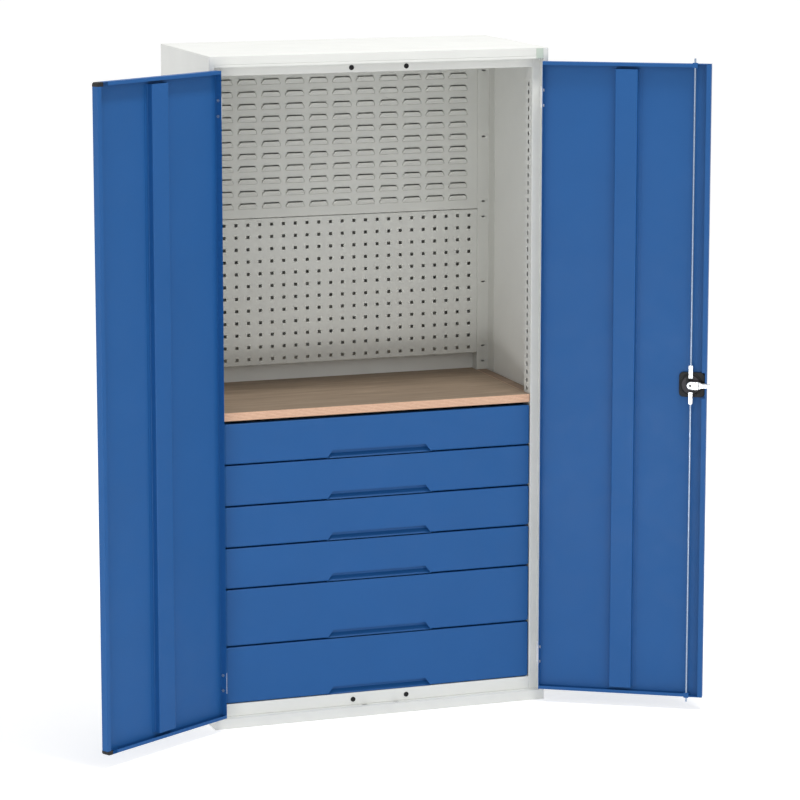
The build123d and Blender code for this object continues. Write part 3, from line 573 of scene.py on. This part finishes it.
def make_louvre_panel():
    """Upper tool panel: pressed louvres, each open along its top edge."""
    outline = hood_outline()
    middle = LOUVRE_BOTTOM + PANEL_HEIGHT / 2
    places = [(76 * (i - 5.5), middle + 38 * (j - 5)) for i in range(12) for j in range(11)]
    bm = bmesh.new()
    tray(bm, LOUVRE_BOTTOM, PANEL_WIDTH / 2,
         [[(x + a, z + b) for a, b in outline] for x, z in places])
    for x, z in places:
        grid = []
        for row in range(len(HOOD_Z)):
            line = []
            for column in range(2 * len(HOOD_INSET) + 1):
                px, py, pz = hood_point(row, column)
                line.append(bm.verts.new((x + px, REAR_POST_Y + py, z + pz)))
            grid.append(line)
        for low, high in zip(grid, grid[1:]):
            for a, b, c, d in zip(low, low[1:], high[1:], high):
                bm.faces.new((a, b, c, d))
    seams = [v for v in bm.verts if abs(v.co.y - REAR_POST_Y) < 0.001]
    bmesh.ops.remove_doubles(bm, verts=seams, dist=0.01)
    # the darker grey is painted shade for the inside of the cabinet
    panel = piece("louvre_panel_pressed", thicken(bm, PANEL_SHEET), "cabinet",
                  [PANEL_GREY_PAINTED_SHADE],
                  sharp=50)
    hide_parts("louvre_panel")


def make_perforated_panel():
    """Lower tool panel: square holes with softly rounded corners."""
    middle = PERFORATED_BOTTOM + PANEL_HEIGHT / 2
    holes = []
    for i in range(25):
        for j in range(12):
            x, z = 38 * (i - 12), middle + 38 * (j - 5.5)
            holes.append(round_rect(x - 5, x + 5, z - 5, z + 5, 0.8, 2))
    bm = bmesh.new()
    tray(bm, PERFORATED_BOTTOM, PANEL_WIDTH / 2, holes)
    # the darker grey is painted shade for the inside of the cabinet
    panel = piece("perforated_panel_punched", thicken(bm, PANEL_SHEET), "cabinet",
                  [PANEL_GREY_PAINTED_SHADE])
    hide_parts("perforated_panel")


# -------------------------------------------------- worktop

def make_worktop():
    """Plywood board notched round the posts: veneered faces, bare plies round the edge.

    A shallow groove at each end parts off a darker strip, and a gap stays beside the side walls.
    """
    front_half, side_half = POST_X - 2, SIDE - SHEET - 7
    front, notch_front = FRAME_Y, FRAME_Y + 57
    notch_rear, rear = REAR_POST_Y - 2, BACK - 2 * SHEET - 2
    right = [
        (front_half, front), (front_half, notch_front), (side_half, notch_front),
        (side_half, notch_rear), (front_half, notch_rear), (front_half, rear),
    ]
    outline = right + [(-x, y) for x, y in right[::-1]]
    bm = bmesh.new()
    face = bm.faces.new([bm.verts.new((x, y, 925)) for x, y in outline])
    made = bmesh.ops.extrude_face_region(bm, geom=[face])
    moved = [g for g in made["geom"] if isinstance(g, bmesh.types.BMVert)]
    bmesh.ops.translate(bm, verts=moved, vec=(0, 0, 25))
    bmesh.ops.recalc_face_normals(bm, faces=bm.faces)
    rims = [e for e in bm.edges if e.calc_face_angle(0) > 0.6]
    bmesh.ops.bevel(bm, geom=rims, offset=1.8, segments=3, profile=0.5, affect="EDGES",
                    clamp_overlap=True)
    groove, depth = (front_half - 1.4, front_half + 0.2), 1.2
    mesh = cut(mesh_of(bm), [
        (groove[0], groove[1], notch_front - 3, notch_rear + 3, 950 - depth, 951),
        (-groove[1], -groove[0], notch_front - 3, notch_rear + 3, 950 - depth, 951),
    ])
    for each in mesh.polygons:
        veneered = 2 if abs(each.center.x) > groove[1] else 0
        each.material_index = veneered if abs(each.normal.z) > 0.75 else 1
    board = piece("worktop_board", mesh, "cabinet", [VENEER, PLIES, END_VENEER])
    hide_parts("worktop")


# -------------------------------------------------- body sheets

ALONG_X = Matrix(((0, 0, 1, 0), (1, 0, 0, 0), (0, 1, 0, 0), (0, 0, 0, 1)))


def make_side_panels():
    """Side sheets, each folded round the front column and the rear flange."""
    column = SIDE - 16
    path = [(column, FRAME_Y), (column, FRONT), (SIDE, FRONT), (SIDE, BACK), (SIDE - 20, BACK)]
    for side, matrix in (("right", None), ("left", MIRROR)):
        mesh = folded_sheet(path, 2.5, SHEET, PLINTH, CAP_BOTTOM)
        panel = piece(f"{side}_side_panel_folded", mesh, "cabinet", [GREY], matrix)
        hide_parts(f"{side}_side_panel")


def open_box(x0, x1, y0, y1, z0, z1, missing, bevel, segments=3):
    """The outside of a box with one face left off and its folds rounded."""
    bm = bmesh.new()
    made = bmesh.ops.create_cube(bm, size=1)
    size, middle = (x1 - x0, y1 - y0, z1 - z0), ((x0 + x1) / 2, (y0 + y1) / 2, (z0 + z1) / 2)
    for vert in made["verts"]:
        vert.co = Vector(m + c * d for m, c, d in zip(middle, vert.co, size))
    bm.normal_update()
    away = Vector(missing)
    gone = [f for f in bm.faces if f.normal.dot(away) > 0.9]
    bmesh.ops.delete(bm, geom=gone, context="FACES")
    folds = [e for e in bm.edges if len(e.link_faces) == 2]
    bmesh.ops.bevel(bm, geom=folds, offset=bevel, segments=segments, profile=0.5, affect="EDGES")
    return bm


def make_roof_cap():
    """Top cap: a shallow inverted tray."""
    bm = open_box(-SIDE, SIDE, FRONT, BACK, CAP_BOTTOM, 2000, (0, 0, -1), 2.5)
    cap = piece("roof_cap_pressed", thicken(bm, SHEET), "cabinet", [GREY])
    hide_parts("roof_cap")


def joined(meshes):
    """Several meshes as one."""
    bm = bmesh.new()
    for mesh in meshes:
        bm.from_mesh(mesh)
        bpy.data.meshes.remove(mesh)
    return mesh_of(bm)


def make_rails():
    """Top rail with its front lip and the rods' slots, and bottom rail."""
    column = SIDE - 16
    slots = [
        round_rect(FRAME_Y + SHEET - ROD_Y - 4.5, FRAME_Y + SHEET - ROD_Y + 4.5, x - 8, x + 8, 1.5)
        for x in (-LOCK_X, LOCK_X)
    ]
    lip = folded_sheet(
        [(FRAME_Y + SHEET, CAP_BOTTOM), (FRONT, CAP_BOTTOM), (FRONT, CAP_BOTTOM - 8)],
        1.8, SHEET, -column, column, {0: slots},
    )
    face = folded_sheet(
        [(FRAME_Y, CAP_BOTTOM - SHEET), (FRAME_Y, TOP_RAIL_BOTTOM),
         (FRAME_Y + RAIL_RETURN, TOP_RAIL_BOTTOM),
         (FRAME_Y + RAIL_RETURN, TOP_RAIL_BOTTOM + RAIL_HEM)],
        2.2, SHEET, -POST_X, POST_X,
    )
    top = piece("top_rail_folded", joined([lip, face]), "cabinet", [GREY], ALONG_X)
    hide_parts("top_rail")
    bottom = folded_sheet(
        [(FRAME_Y + RAIL_RETURN, BOTTOM_RAIL_TOP - RAIL_HEM),
         (FRAME_Y + RAIL_RETURN, BOTTOM_RAIL_TOP), (FRAME_Y, BOTTOM_RAIL_TOP),
         (FRAME_Y, PLINTH), (FRAME_Y + RAIL_RETURN, PLINTH)],
        2.2, SHEET, -POST_X, POST_X,
    )
    low = piece("bottom_rail_folded", bottom, "cabinet", [GREY], ALONG_X)
    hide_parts("bottom_rail")


def turned(profile, steps=32):
    """A turned form about Z: rings of (radius, height), closed at radius 0."""
    bm = bmesh.new()
    rings = []
    for radius, height in profile:
        if radius == 0:
            rings.append([bm.verts.new((0, 0, height))])
        else:
            rings.append([
                bm.verts.new((radius * math.cos(math.tau * i / steps),
                              radius * math.sin(math.tau * i / steps), height))
                for i in range(steps)
            ])
    for low, high in zip(rings, rings[1:]):
        for i in range(steps):
            j = (i + 1) % steps
            if len(low) == 1 and len(high) == 1:
                continue
            if len(low) == 1:
                bm.faces.new((low[0], high[i], high[j]))
            elif len(high) == 1:
                bm.faces.new((low[i], low[j], high[0]))
            else:
                bm.faces.new((low[i], low[j], high[j], high[i]))
    bmesh.ops.recalc_face_normals(bm, faces=bm.faces)
    return mesh_of(bm)


def facing_front(x, y, z):
    """Turns a form drawn about Z so that its top looks to the front, and puts it at a point."""
    return Matrix.Translation((x, y, z)) @ Matrix.Rotation(math.radians(90), 4, "X")


def make_buffers():
    """Rubber buttons with a domed face and a rim."""
    profile = [(7.5, 0), (7.5, 1.1), (6.9, 1.7), (5.4, 1.95), (2.2, 2.0), (1.4, 1.6), (0, 1.5)]
    meshes = []
    for z in (1954, 48):
        for x in (-85, 85):
            mesh = turned(profile)
            mesh.transform(facing_front(x, FRAME_Y, z))
            meshes.append(mesh)
    buttons = piece("door_buffers_domed", joined(meshes), "cabinet", [RUBBER])
    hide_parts("door_buffers")


# -------------------------------------------------- drawer fronts

FRONT_HALF, FRONT_DEPTH, FRONT_SHEET = 482.0, 20.0, 1.2
FRONT_BEND, FRONT_ROUND = 5.0, 7.0
GRIP_HALF, GRIP_TOP_HALF, GRIP_HIGH = 163.5, 150.0, 23.0
GRIP_SLOPE = (GRIP_HALF - GRIP_TOP_HALF) / GRIP_HIGH
DRAWERS = ((1, 795, 121), (2, 670, 121), (3, 545, 121), (4, 420, 121), (5, 245, 171), (6, 70, 171))


def grip_half(z):
    """Half the width of the grip's trapezoid at a height above its lower edge."""
    return GRIP_HALF - GRIP_SLOPE * z


def front_skin(bottom, height):
    """A front's face and its rounded edges, open at the back and over the grip."""
    half, top = FRONT_HALF - FRONT_BEND, height - FRONT_BEND
    corner = FRONT_ROUND - FRONT_BEND
    low = FRONT_BEND
    edge = [((grip_half(low), low), (GRIP_SLOPE, -1))]
    for centre, start in (
        ((half - corner, low + corner), -90), ((half - corner, top - corner), 0),
        ((-half + corner, top - corner), 90), ((-half + corner, low + corner), 180),
    ):
        for i in range(5):
            angle = math.radians(start + 90 * i / 4)
            way = (math.cos(angle), math.sin(angle))
            edge.append(((centre[0] + corner * way[0], centre[1] + corner * way[1]), way))
    edge.append(((-grip_half(low), low), (-GRIP_SLOPE, -1)))
    notch = arc((-grip_half(GRIP_HIGH) + 4.6, GRIP_HIGH - 4), 4, 180, 90, 4)
    notch += arc((grip_half(GRIP_HIGH) - 4.6, GRIP_HIGH - 4), 4, 90, 0, 4)
    bm = bmesh.new()
    outline = [spot for spot, _ in edge] + notch
    fill_plate(bm, outline, [], lambda p: (p[0], FRAME_Y, bottom + p[1]))
    steps = 5
    bend = [
        (FRONT_BEND * math.sin(math.radians(90 * i / steps)),
         FRONT_BEND * (1 - math.cos(math.radians(90 * i / steps))))
        for i in range(steps + 1)
    ] + [(FRONT_BEND, FRONT_DEPTH)]
    rows = [
        [bm.verts.new((x + way[0] * out, FRAME_Y + back, bottom + z + way[1] * out)) for (x, z),
         way in edge]
        for out, back in bend
    ]
    for near, far in zip(rows, rows[1:]):
        for a, b, c, d in zip(near, far, far[1:], near[1:]):
            bm.faces.new((a, b, c, d))
    bmesh.ops.remove_doubles(bm, verts=bm.verts, dist=0.01)
    for face in bm.faces:
        face.normal_update()
        centre = face.calc_center_median()
        outward = Vector((centre.x, 0, centre.z - bottom - height / 2))
        outward = Vector((0, -1, 0)) if face.normal.y < -0.99 or face.normal.y > 0.99 else outward
        if abs(face.normal.y) <= 0.99:
            along = Vector((face.normal.x, 0, face.normal.z))
            nearest = Vector((1 if centre.x > 0 else -1, 0,
                              0)) if abs(along.x) > abs(along.z) else Vector(
                (0, 0, 1 if centre.z > bottom + height / 2 else -1))
            outward = nearest
        if face.normal.dot(outward) < 0:
            face.normal_flip()
    return thicken(bm, FRONT_SHEET)


def grip_scoop(bottom):
    """The finger pocket behind the notch: sloping floor, rounded knee, back wall and roof."""
    section = [(1.0, 0.2)] + [(3.0, 0.2)]
    section += [(14.6, 10.3), (15.6, 11.6), (16.0, 13.4)]
    section += [(16.0, 26.0)] + arc((11.0, 26.0), 5.0, 0, 90, 4)[1:] + [(1.0, 31.0)]
    bm = bmesh.new()
    rows = []
    for y, z in section:
        end = grip_half(z) + 1.0
        rows.append([bm.verts.new((x, FRAME_Y + y, bottom + z)) for x in (-end, -end + 3, end - 3,
                                                                          end)])
    for low, high in zip(rows, rows[1:]):
        for a, b, c, d in zip(low, low[1:], high[1:], high):
            bm.faces.new((a, b, c, d))
    for column in (0, 3):
        bm.faces.new([row[column] for row in rows])
    bmesh.ops.recalc_face_normals(bm, faces=bm.faces)
    middle = Vector((0, FRAME_Y + 6, bottom + 15))
    probe = min(bm.faces,
        key=lambda f: (f.calc_center_median() - Vector((0, FRAME_Y + 16, bottom + 20))).length)
    if probe.normal.dot(middle - probe.calc_center_median()) < 0:
        bmesh.ops.reverse_faces(bm, faces=bm.faces)
    return thicken(bm, 1.0)


def make_drawer_fronts():
    """The six pressed fronts, each with its grip."""
    for number, bottom, height in DRAWERS:
        mesh = joined([front_skin(bottom, height), grip_scoop(bottom)])
        front = piece(f"drawer_{number}_front_pressed", mesh, f"drawer_{number}",
                      [BLUE], sharp=40)
        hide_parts(f"drawer_{number}_front")


# -------------------------------------------------- doors, drawn closed and right-handed

EDGE_LIP, END_LIP, END_LIP_FROM = 14.0, 10.0, 42.0
CAP_WIDE, CAP_HIGH = 22.0, 12.0
STIFFENER_X, STIFFENER_HALF, STIFFENER_FOOT = 253.0, 33.7, 12.0


def door_ends(rods):
    """The walls along a door's top and bottom, each with its lip.

    The lock's door has holes for the rods.
    """
    inner, front, far = DOOR_INNER_Y, FRONT + DOOR_SHEET, DOOR_HINGE_X - DOOR_SHEET
    top_hole = [ring(inner - ROD_Y, LOCK_X, 3.4, 20)] if rods else []
    low_hole = [ring(ROD_Y - front, LOCK_X, 3.4, 20)] if rods else []
    near = DOOR_FREE_X + (DOOR_SHEET if rods else CAP_WIDE)
    meshes = [
        folded_sheet([(inner, DOOR_TOP - END_LIP), (inner, DOOR_TOP), (front, DOOR_TOP)],
                     1.0, DOOR_SHEET, END_LIP_FROM, far, {1: top_hole}),
        folded_sheet([(front, DOOR_BOTTOM), (inner, DOOR_BOTTOM), (inner, DOOR_BOTTOM + END_LIP)],
                     1.0, DOOR_SHEET, END_LIP_FROM, far, {0: low_hole}),
        folded_sheet([(inner, DOOR_TOP), (front, DOOR_TOP)], 1.0, DOOR_SHEET, near, END_LIP_FROM),
        folded_sheet([(front, DOOR_BOTTOM), (inner, DOOR_BOTTOM)], 1.0, DOOR_SHEET, near,
                     END_LIP_FROM),
    ]
    for mesh in meshes:
        mesh.transform(ALONG_X)
    return meshes


def door_pan(rods):
    """A door's folded skin, nicked for the lock's housing or for the corner caps."""
    inner = DOOR_INNER_Y
    path = [
        (DOOR_FREE_X + EDGE_LIP, inner), (DOOR_FREE_X, inner), (DOOR_FREE_X, FRONT),
        (DOOR_HINGE_X, FRONT), (DOOR_HINGE_X, inner),
    ]
    skin = folded_sheet(path, 1.8, DOOR_SHEET, DOOR_BOTTOM, DOOR_TOP)
    if rods:
        nicks = [(DOOR_FREE_X + 5, 30, inner - 3, inner + 1, LOCK_Z - 39, LOCK_Z + 39)]
    else:
        reach = DOOR_FREE_X + CAP_WIDE
        nicks = [
            (-1, reach, FRONT - 1, inner + 1, DOOR_BOTTOM - 1, DOOR_BOTTOM + CAP_HIGH),
            (-1, reach, FRONT - 1, inner + 1, DOOR_TOP - CAP_HIGH, DOOR_TOP + 1),
        ]
    return joined([cut(skin, nicks)] + door_ends(rods))


def stiffener():
    """Hat-section channel with rounded folds up the middle of a door."""
    foot, face = FRONT + 2 * DOOR_SHEET, DOOR_INNER_Y - DOOR_SHEET
    half, x = STIFFENER_HALF, STIFFENER_X
    path = [
        (x + half + STIFFENER_FOOT, foot), (x + half, foot), (x + half, face),
        (x - half, face), (x - half, foot), (x - half - STIFFENER_FOOT, foot),
    ]
    return folded_sheet(path, 3.2, DOOR_SHEET, DOOR_BOTTOM + 19, DOOR_TOP - 19)


def make_doors():
    """Both doors' pans and stiffeners, and the guides round the rods at the right door's ends."""
    for side, matrix in (("right", OPEN_RIGHT), ("left", MIRROR @ OPEN_RIGHT)):
        pan = piece(f"{side}_door_pan_folded", door_pan(side == "right"), f"{side}_door",
                    [BLUE], matrix)
        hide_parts(f"{side}_door_pan")
        hat = piece(f"{side}_door_stiffener_folded", stiffener(), f"{side}_door",
                    [BLUE], matrix)
        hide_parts(f"{side}_door_stiffener")
    guides = []
    for z0, z1 in ((DOOR_TOP - 12, DOOR_TOP + 3), (DOOR_BOTTOM - 3, DOOR_BOTTOM + 12)):
        block = mesh_of(prism(round_rect(LOCK_X - 8, LOCK_X + 8, z0, z1, 2.5), ROD_Y - 5.5,
                              DOOR_INNER_Y + 1.3, 0.8))
        guides.append(cut(block,
                          [(LOCK_X - 3.5, LOCK_X + 3.5, ROD_Y - 3.5, ROD_Y + 3.5, z0 - 1, z1 + 1)]))
    piece("rod_guides", joined(guides), "right_door", [BLUE], OPEN_RIGHT)


# -------------------------------------------------- lock, drawn with the door closed

HUB_BACK = ROD_Y + 4


def along_y(mesh, x, y, z):
    """Turns a form drawn about Z so that its top looks into the cabinet, and puts it at a point."""
    mesh.transform(Matrix.Translation((x, y, z)) @ Matrix.Rotation(math.radians(-90), 4, "X"))
    return mesh


def turned_half(points):
    """Outline points turned half a turn about the lock's spindle."""
    return [(2 * LOCK_X - x, 2 * LOCK_Z - z) for x, z in points]


def make_housing():
    """Rounded square housing with a rim round its middle, and the grey disc in it."""
    inner = FRONT + DOOR_SHEET
    plate = mesh_of(prism(
        round_rect(LOCK_X - 41, LOCK_X + 36, LOCK_Z - 37.5, LOCK_Z + 37.5, 12, 6), inner,
        inner + 9, 1.8, 3))
    rim = along_y(turned([
        (34.5, 0), (34.5, 1.2), (33.6, 2.2), (31.2, 2.4), (30.2, 1.6), (29.8, 0.2), (0, 0.2),
    ], 64), LOCK_X, inner + 9, LOCK_Z)
    housing = piece("lock_housing_moulded", joined([plate, rim]), "right_door",
                    [BLACK], OPEN_RIGHT)
    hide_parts("lock_plate")
    disc = along_y(turned([
        (27.6, 0), (27.6, 1.4), (26.8, 2.3), (25.0, 2.6), (15.2, 2.6), (14.4, 2.0), (14.2, 0.6),
        (0, 0.6),
    ], 64), LOCK_X, inner + 9, LOCK_Z)
    piece("lock_housing_disc", disc, "right_door", [GRAPHITE], OPEN_RIGHT)


def make_cam():
    """Hub with its screw, shoulder, tapered tongue with two ribs, spindle and drive pins."""
    x, z = LOCK_X, LOCK_Z
    hub = along_y(turned([
        (10.2, 0), (11, 0.8), (11, 8.0), (10.0, 9.0), (4.6, 9.0), (4.2, 8.6), (4.0, 7.4), (0, 7.4),
    ], 48), x, HUB_BACK, z)
    half_bar = [(x - 22, z + 11.4), (x - 25.6, z + 11.4), (x - 33.5, z + 7), (x - 57.2, z + 7),
                (x - 59, z + 5.4)]
    bar = mesh_of(prism(
        half_bar + [(u, 2 * z - v) for u, v in half_bar[::-1]], HUB_BACK + 3.8, HUB_BACK + 6.8,
        0.7))
    shoulder = mesh_of(prism(
        round_rect(x - 24.6, x, z - 12, z + 12, 2.2), HUB_BACK + 3.8, HUB_BACK + 8, 0.9))
    ribs = [
        mesh_of(prism(round_rect(x - 57, x - 35, z + v - 0.9, z + v + 0.9, 0.9), HUB_BACK + 6,
                      HUB_BACK + 7.6, 0.5))
        for v in (-3.4, 3.4)
    ]
    spindle = mesh_of(prism(
        round_rect(x - 3.5, x + 3.5, z - 3.5, z + 3.5, 0.5), FRONT - 22, HUB_BACK + 1, 0.4))
    pins = [
        along_y(turned([(0, 0), (1.5, 0), (2, 0.5), (2, 7.4)], 16), x + reach, HUB_BACK - 7.2,
                z + reach)
        for reach in (-6, 6)
    ]
    cam = piece("lock_cam_formed", joined([hub, bar, shoulder, spindle] + ribs + pins),
                "lock", [ZINC], OPEN_RIGHT)
    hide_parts("lock_cam")
    screw = along_y(turned([(3.6, 0), (3.6, 0.6), (2.9, 1.1), (1.5, 1.2), (1.3, 0.4), (0, 0.4)],
                           24), x, HUB_BACK + 7.3, z)
    seam = mesh_of(prism(round_rect(x - 25.9, x - 24.1, z - 11.2, z + 11.2, 0.5), HUB_BACK + 4.4,
                         HUB_BACK + 7.2, 0.2))
    lines = [
        mesh_of(prism(round_rect(x - 57, x - 35, z + v - 0.6, z + v + 0.6, 0.5), HUB_BACK + 4.4,
                      HUB_BACK + 7.0, 0.2))
        for v in (5.0, 0.6)
    ]
    piece("lock_hub_details", joined([screw, seam] + lines), "lock", [GRAPHITE],
          OPEN_RIGHT)


def make_couplers_and_rods():
    """Each rod with its coupler bar, and the blackened fork that takes the cam's pin."""
    x, z = LOCK_X, LOCK_Z
    shape = {"upper": 1.6, "lower": 4.6}
    for name, nose in shape.items():
        bar = [
            (x - 6.35, z + COUPLER_START + 1), (x - 5.3, z + COUPLER_START),
            (x + 5.3, z + COUPLER_START), (x + 6.35, z + COUPLER_START + 1),
            (x + 6.35, z + COUPLER_END - nose), (x + 6.35 - nose, z + COUPLER_END),
            (x - 6.35 + nose, z + COUPLER_END),
            (x - 6.35, z + COUPLER_END - nose),
        ]
        fork = [
            (x + 5, z + COUPLER_START), (x + 6.6, z + COUPLER_START), (x + 6.6, z + 8.6),
            (x + 11.3, z + 8.6),
            (x + 11.3, z + 3.4),
            (x + 6.6, z + 3.4), (x + 6.6, z + 0.5), (x + 13.5, z + 0.5), (x + 13.5, z + 27),
            (x + 5, z + 27),
        ]
        rod_end = DOOR_TOP + ROD_BEYOND_DOOR if name == "upper" else DOOR_BOTTOM - ROD_BEYOND_DOOR
        if name == "lower":
            bar, fork = turned_half(bar), turned_half(fork)
        body = f"{name}_rod"
        made = piece(f"{name}_coupler_bar", mesh_of(prism(bar, ROD_Y - 3.4, ROD_Y + 3.4, 0.7)),
                     body, [ZINC], OPEN_RIGHT)
        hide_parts(f"{name}_rod_coupler")
        piece(f"{name}_coupler_fork", mesh_of(prism(fork, ROD_Y - 2.5, ROD_Y + 2.5, 0.4)),
              body, [BLACK], OPEN_RIGHT)
        length = abs(rod_end - z) - ROD_START
        rod = turned([(3.0, 0), (3.0, length - 1.2), (2.6, length - 0.3), (2.0, length),
                      (0, length)], 24)
        way = 0 if name == "upper" else 180
        rod.transform(Matrix.Translation((x, ROD_Y,
                                          z + (ROD_START if name == "upper" else -ROD_START)))
                      @ Matrix.Rotation(math.radians(way), 4, "X"))
        # the rod's blue tint is a painted reflection of the door
        drawn = piece(f"{name}_rod_drawn", rod, body, [ROD_ZINC_BLUE_REFLECTION], OPEN_RIGHT)
        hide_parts(f"{name}_rod")


def make_lock():
    """Everything of the lock that the scene draws."""
    make_housing()
    make_cam()
    make_couplers_and_rods()


def soften(name, width, segments=2, angle=35):
    """Rounds a CAD node's sharp edges a little, so that they catch the light."""
    node = NODES[name]
    weld = node.modifiers.new("weld", "WELD")
    weld.merge_threshold = 0.00001
    bevel = node.modifiers.new("soft_edges", "BEVEL")
    bevel.width = width / 1000
    bevel.segments = segments
    bevel.limit_method = "ANGLE"
    bevel.angle_limit = math.radians(angle)
    bevel.harden_normals = True


def soften_nodes():
    """Soft edges on the CAD nodes that the scene shows as they are."""
    for name in (
        "plinth", "corner_plate", "worktop_brackets", "left_door_hinge_leaves",
        "right_door_hinge_leaves",
        "frame_hinge_leaves",
    ):
        soften(name, 0.5)
    for name in ("lock_handle", "left_door_corner_caps"):
        soften(name, 1.2, 3)


# -------------------------------------------------- stage, lights, camera

def make_floor():
    """A plain pale floor, white to the camera away from the object's shadow."""
    bm = bmesh.new()
    bmesh.ops.create_grid(bm, x_segments=1, y_segments=1, size=60)
    mesh = bpy.data.meshes.new("floor")
    bm.to_mesh(mesh)
    bm.free()
    floor = bpy.data.objects.new("floor", mesh)
    bpy.context.scene.collection.objects.link(floor)
    m = Nodes("floor_white")
    m.set("Base Color", (0.88, 0.88, 0.88, 1))
    m.set("Roughness", 0.9)
    m.set("Specular IOR Level", 0.1)
    path = m.add("ShaderNodeLightPath")
    camera_or_gloss = m.add("ShaderNodeMath", {
        0: path.outputs["Is Camera Ray"], 1: path.outputs["Is Glossy Ray"]}, operation="MAXIMUM")
    lift = m.add("ShaderNodeMath", {0: camera_or_gloss.outputs[0], 1: 0.42}, operation="MULTIPLY")
    m.set("Emission Color", (1, 1, 1, 1))
    m.set("Emission Strength", lift.outputs[0])
    mesh.materials.append(m.material)
    floor.location.z = -0.0005


def make_world(strength=0.66):
    """Even white surroundings, plain white to the camera."""
    world = bpy.data.worlds.new("studio")
    bpy.context.scene.world = world
    world.use_nodes = True
    tree = world.node_tree
    background = tree.nodes["Background"]
    background.inputs["Color"].default_value = (1, 1, 1, 1)
    path = tree.nodes.new("ShaderNodeLightPath")
    seen = tree.nodes.new("ShaderNodeMath")
    seen.operation = "MAXIMUM"
    tree.links.new(path.outputs["Is Camera Ray"], seen.inputs[0])
    tree.links.new(path.outputs["Is Glossy Ray"], seen.inputs[1])
    level = tree.nodes.new("ShaderNodeMapRange")
    level.inputs["To Min"].default_value = strength
    level.inputs["To Max"].default_value = 1.0
    tree.links.new(seen.outputs[0], level.inputs["Value"])
    tree.links.new(level.outputs["Result"], background.inputs["Strength"])


def area_light(name, place, target, size, watts):
    """A soft panel lamp aimed at a point."""
    data = bpy.data.lights.new(name, "AREA")
    data.shape = "RECTANGLE"
    data.size, data.size_y = size
    data.energy = watts
    lamp = bpy.data.objects.new(name, data)
    bpy.context.scene.collection.objects.link(lamp)
    lamp.location = place
    lamp.rotation_mode = "QUATERNION"
    lamp.rotation_quaternion = (Vector(target) - Vector(place)).to_track_quat("-Z", "Y")


def lamp_place(azimuth, elevation, distance, target):
    """A point seen from the target: azimuth from straight in front, positive to the right."""
    a, e = math.radians(azimuth), math.radians(elevation)
    way = Vector((math.sin(a) * math.cos(e), -math.cos(a) * math.cos(e), math.sin(e)))
    return Vector(target) + way * distance


LAMP_TARGET = (0, -0.2, 1.1)
# name, azimuth and elevation in degrees, distance and size in metres, watts
LAMPS = (
    ("key", 22, 72, 6.0, (1.4, 0.9), 170),
    ("side_fill", -85, 15, 6.5, (3.0, 3.0), 62),
    ("low_left", -35, -14, 4.1, (3.5, 0.2), 32),
    ("low_right", 30, -14, 4.1, (3.5, 0.2), 12),
)


def make_lights():
    """One lamp high in front, a wide fill from the left, and two low strips for the plinth."""
    for name, azimuth, elevation, distance, size, watts in LAMPS:
        place = lamp_place(azimuth, elevation, distance, LAMP_TARGET)
        area_light(name, place, LAMP_TARGET, size, watts)


LENS, SENSOR, SHIFT = 149.83, 36, -0.07
CAMERA_PLACE = (-3.182, -9.464, 2.767)
CAMERA_PITCH, CAMERA_YAW = 9.522, -19.39        # degrees: below level, and about Z


def make_camera():
    """The photograph's viewpoint: from the left, a little above, with a long lens."""
    data = bpy.data.cameras.new("camera")
    camera = bpy.data.objects.new("camera", data)
    bpy.context.scene.collection.objects.link(camera)
    data.sensor_width = SENSOR
    data.lens = LENS
    data.shift_y = SHIFT
    camera.location = CAMERA_PLACE
    camera.rotation_euler = (math.radians(90 - CAMERA_PITCH), 0, math.radians(CAMERA_YAW))
    data.clip_end = 200
    bpy.context.scene.camera = camera


bpy.context.scene.view_settings.view_transform = "Standard"
make_camera()
make_world()
make_lights()
make_floor()
dress_nodes()
make_front_posts()
make_rear_posts()
make_louvre_panel()
make_perforated_panel()
make_worktop()
make_side_panels()
make_roof_cap()
make_rails()
make_buffers()
make_drawer_fronts()
make_doors()
make_lock()
soften_nodes()
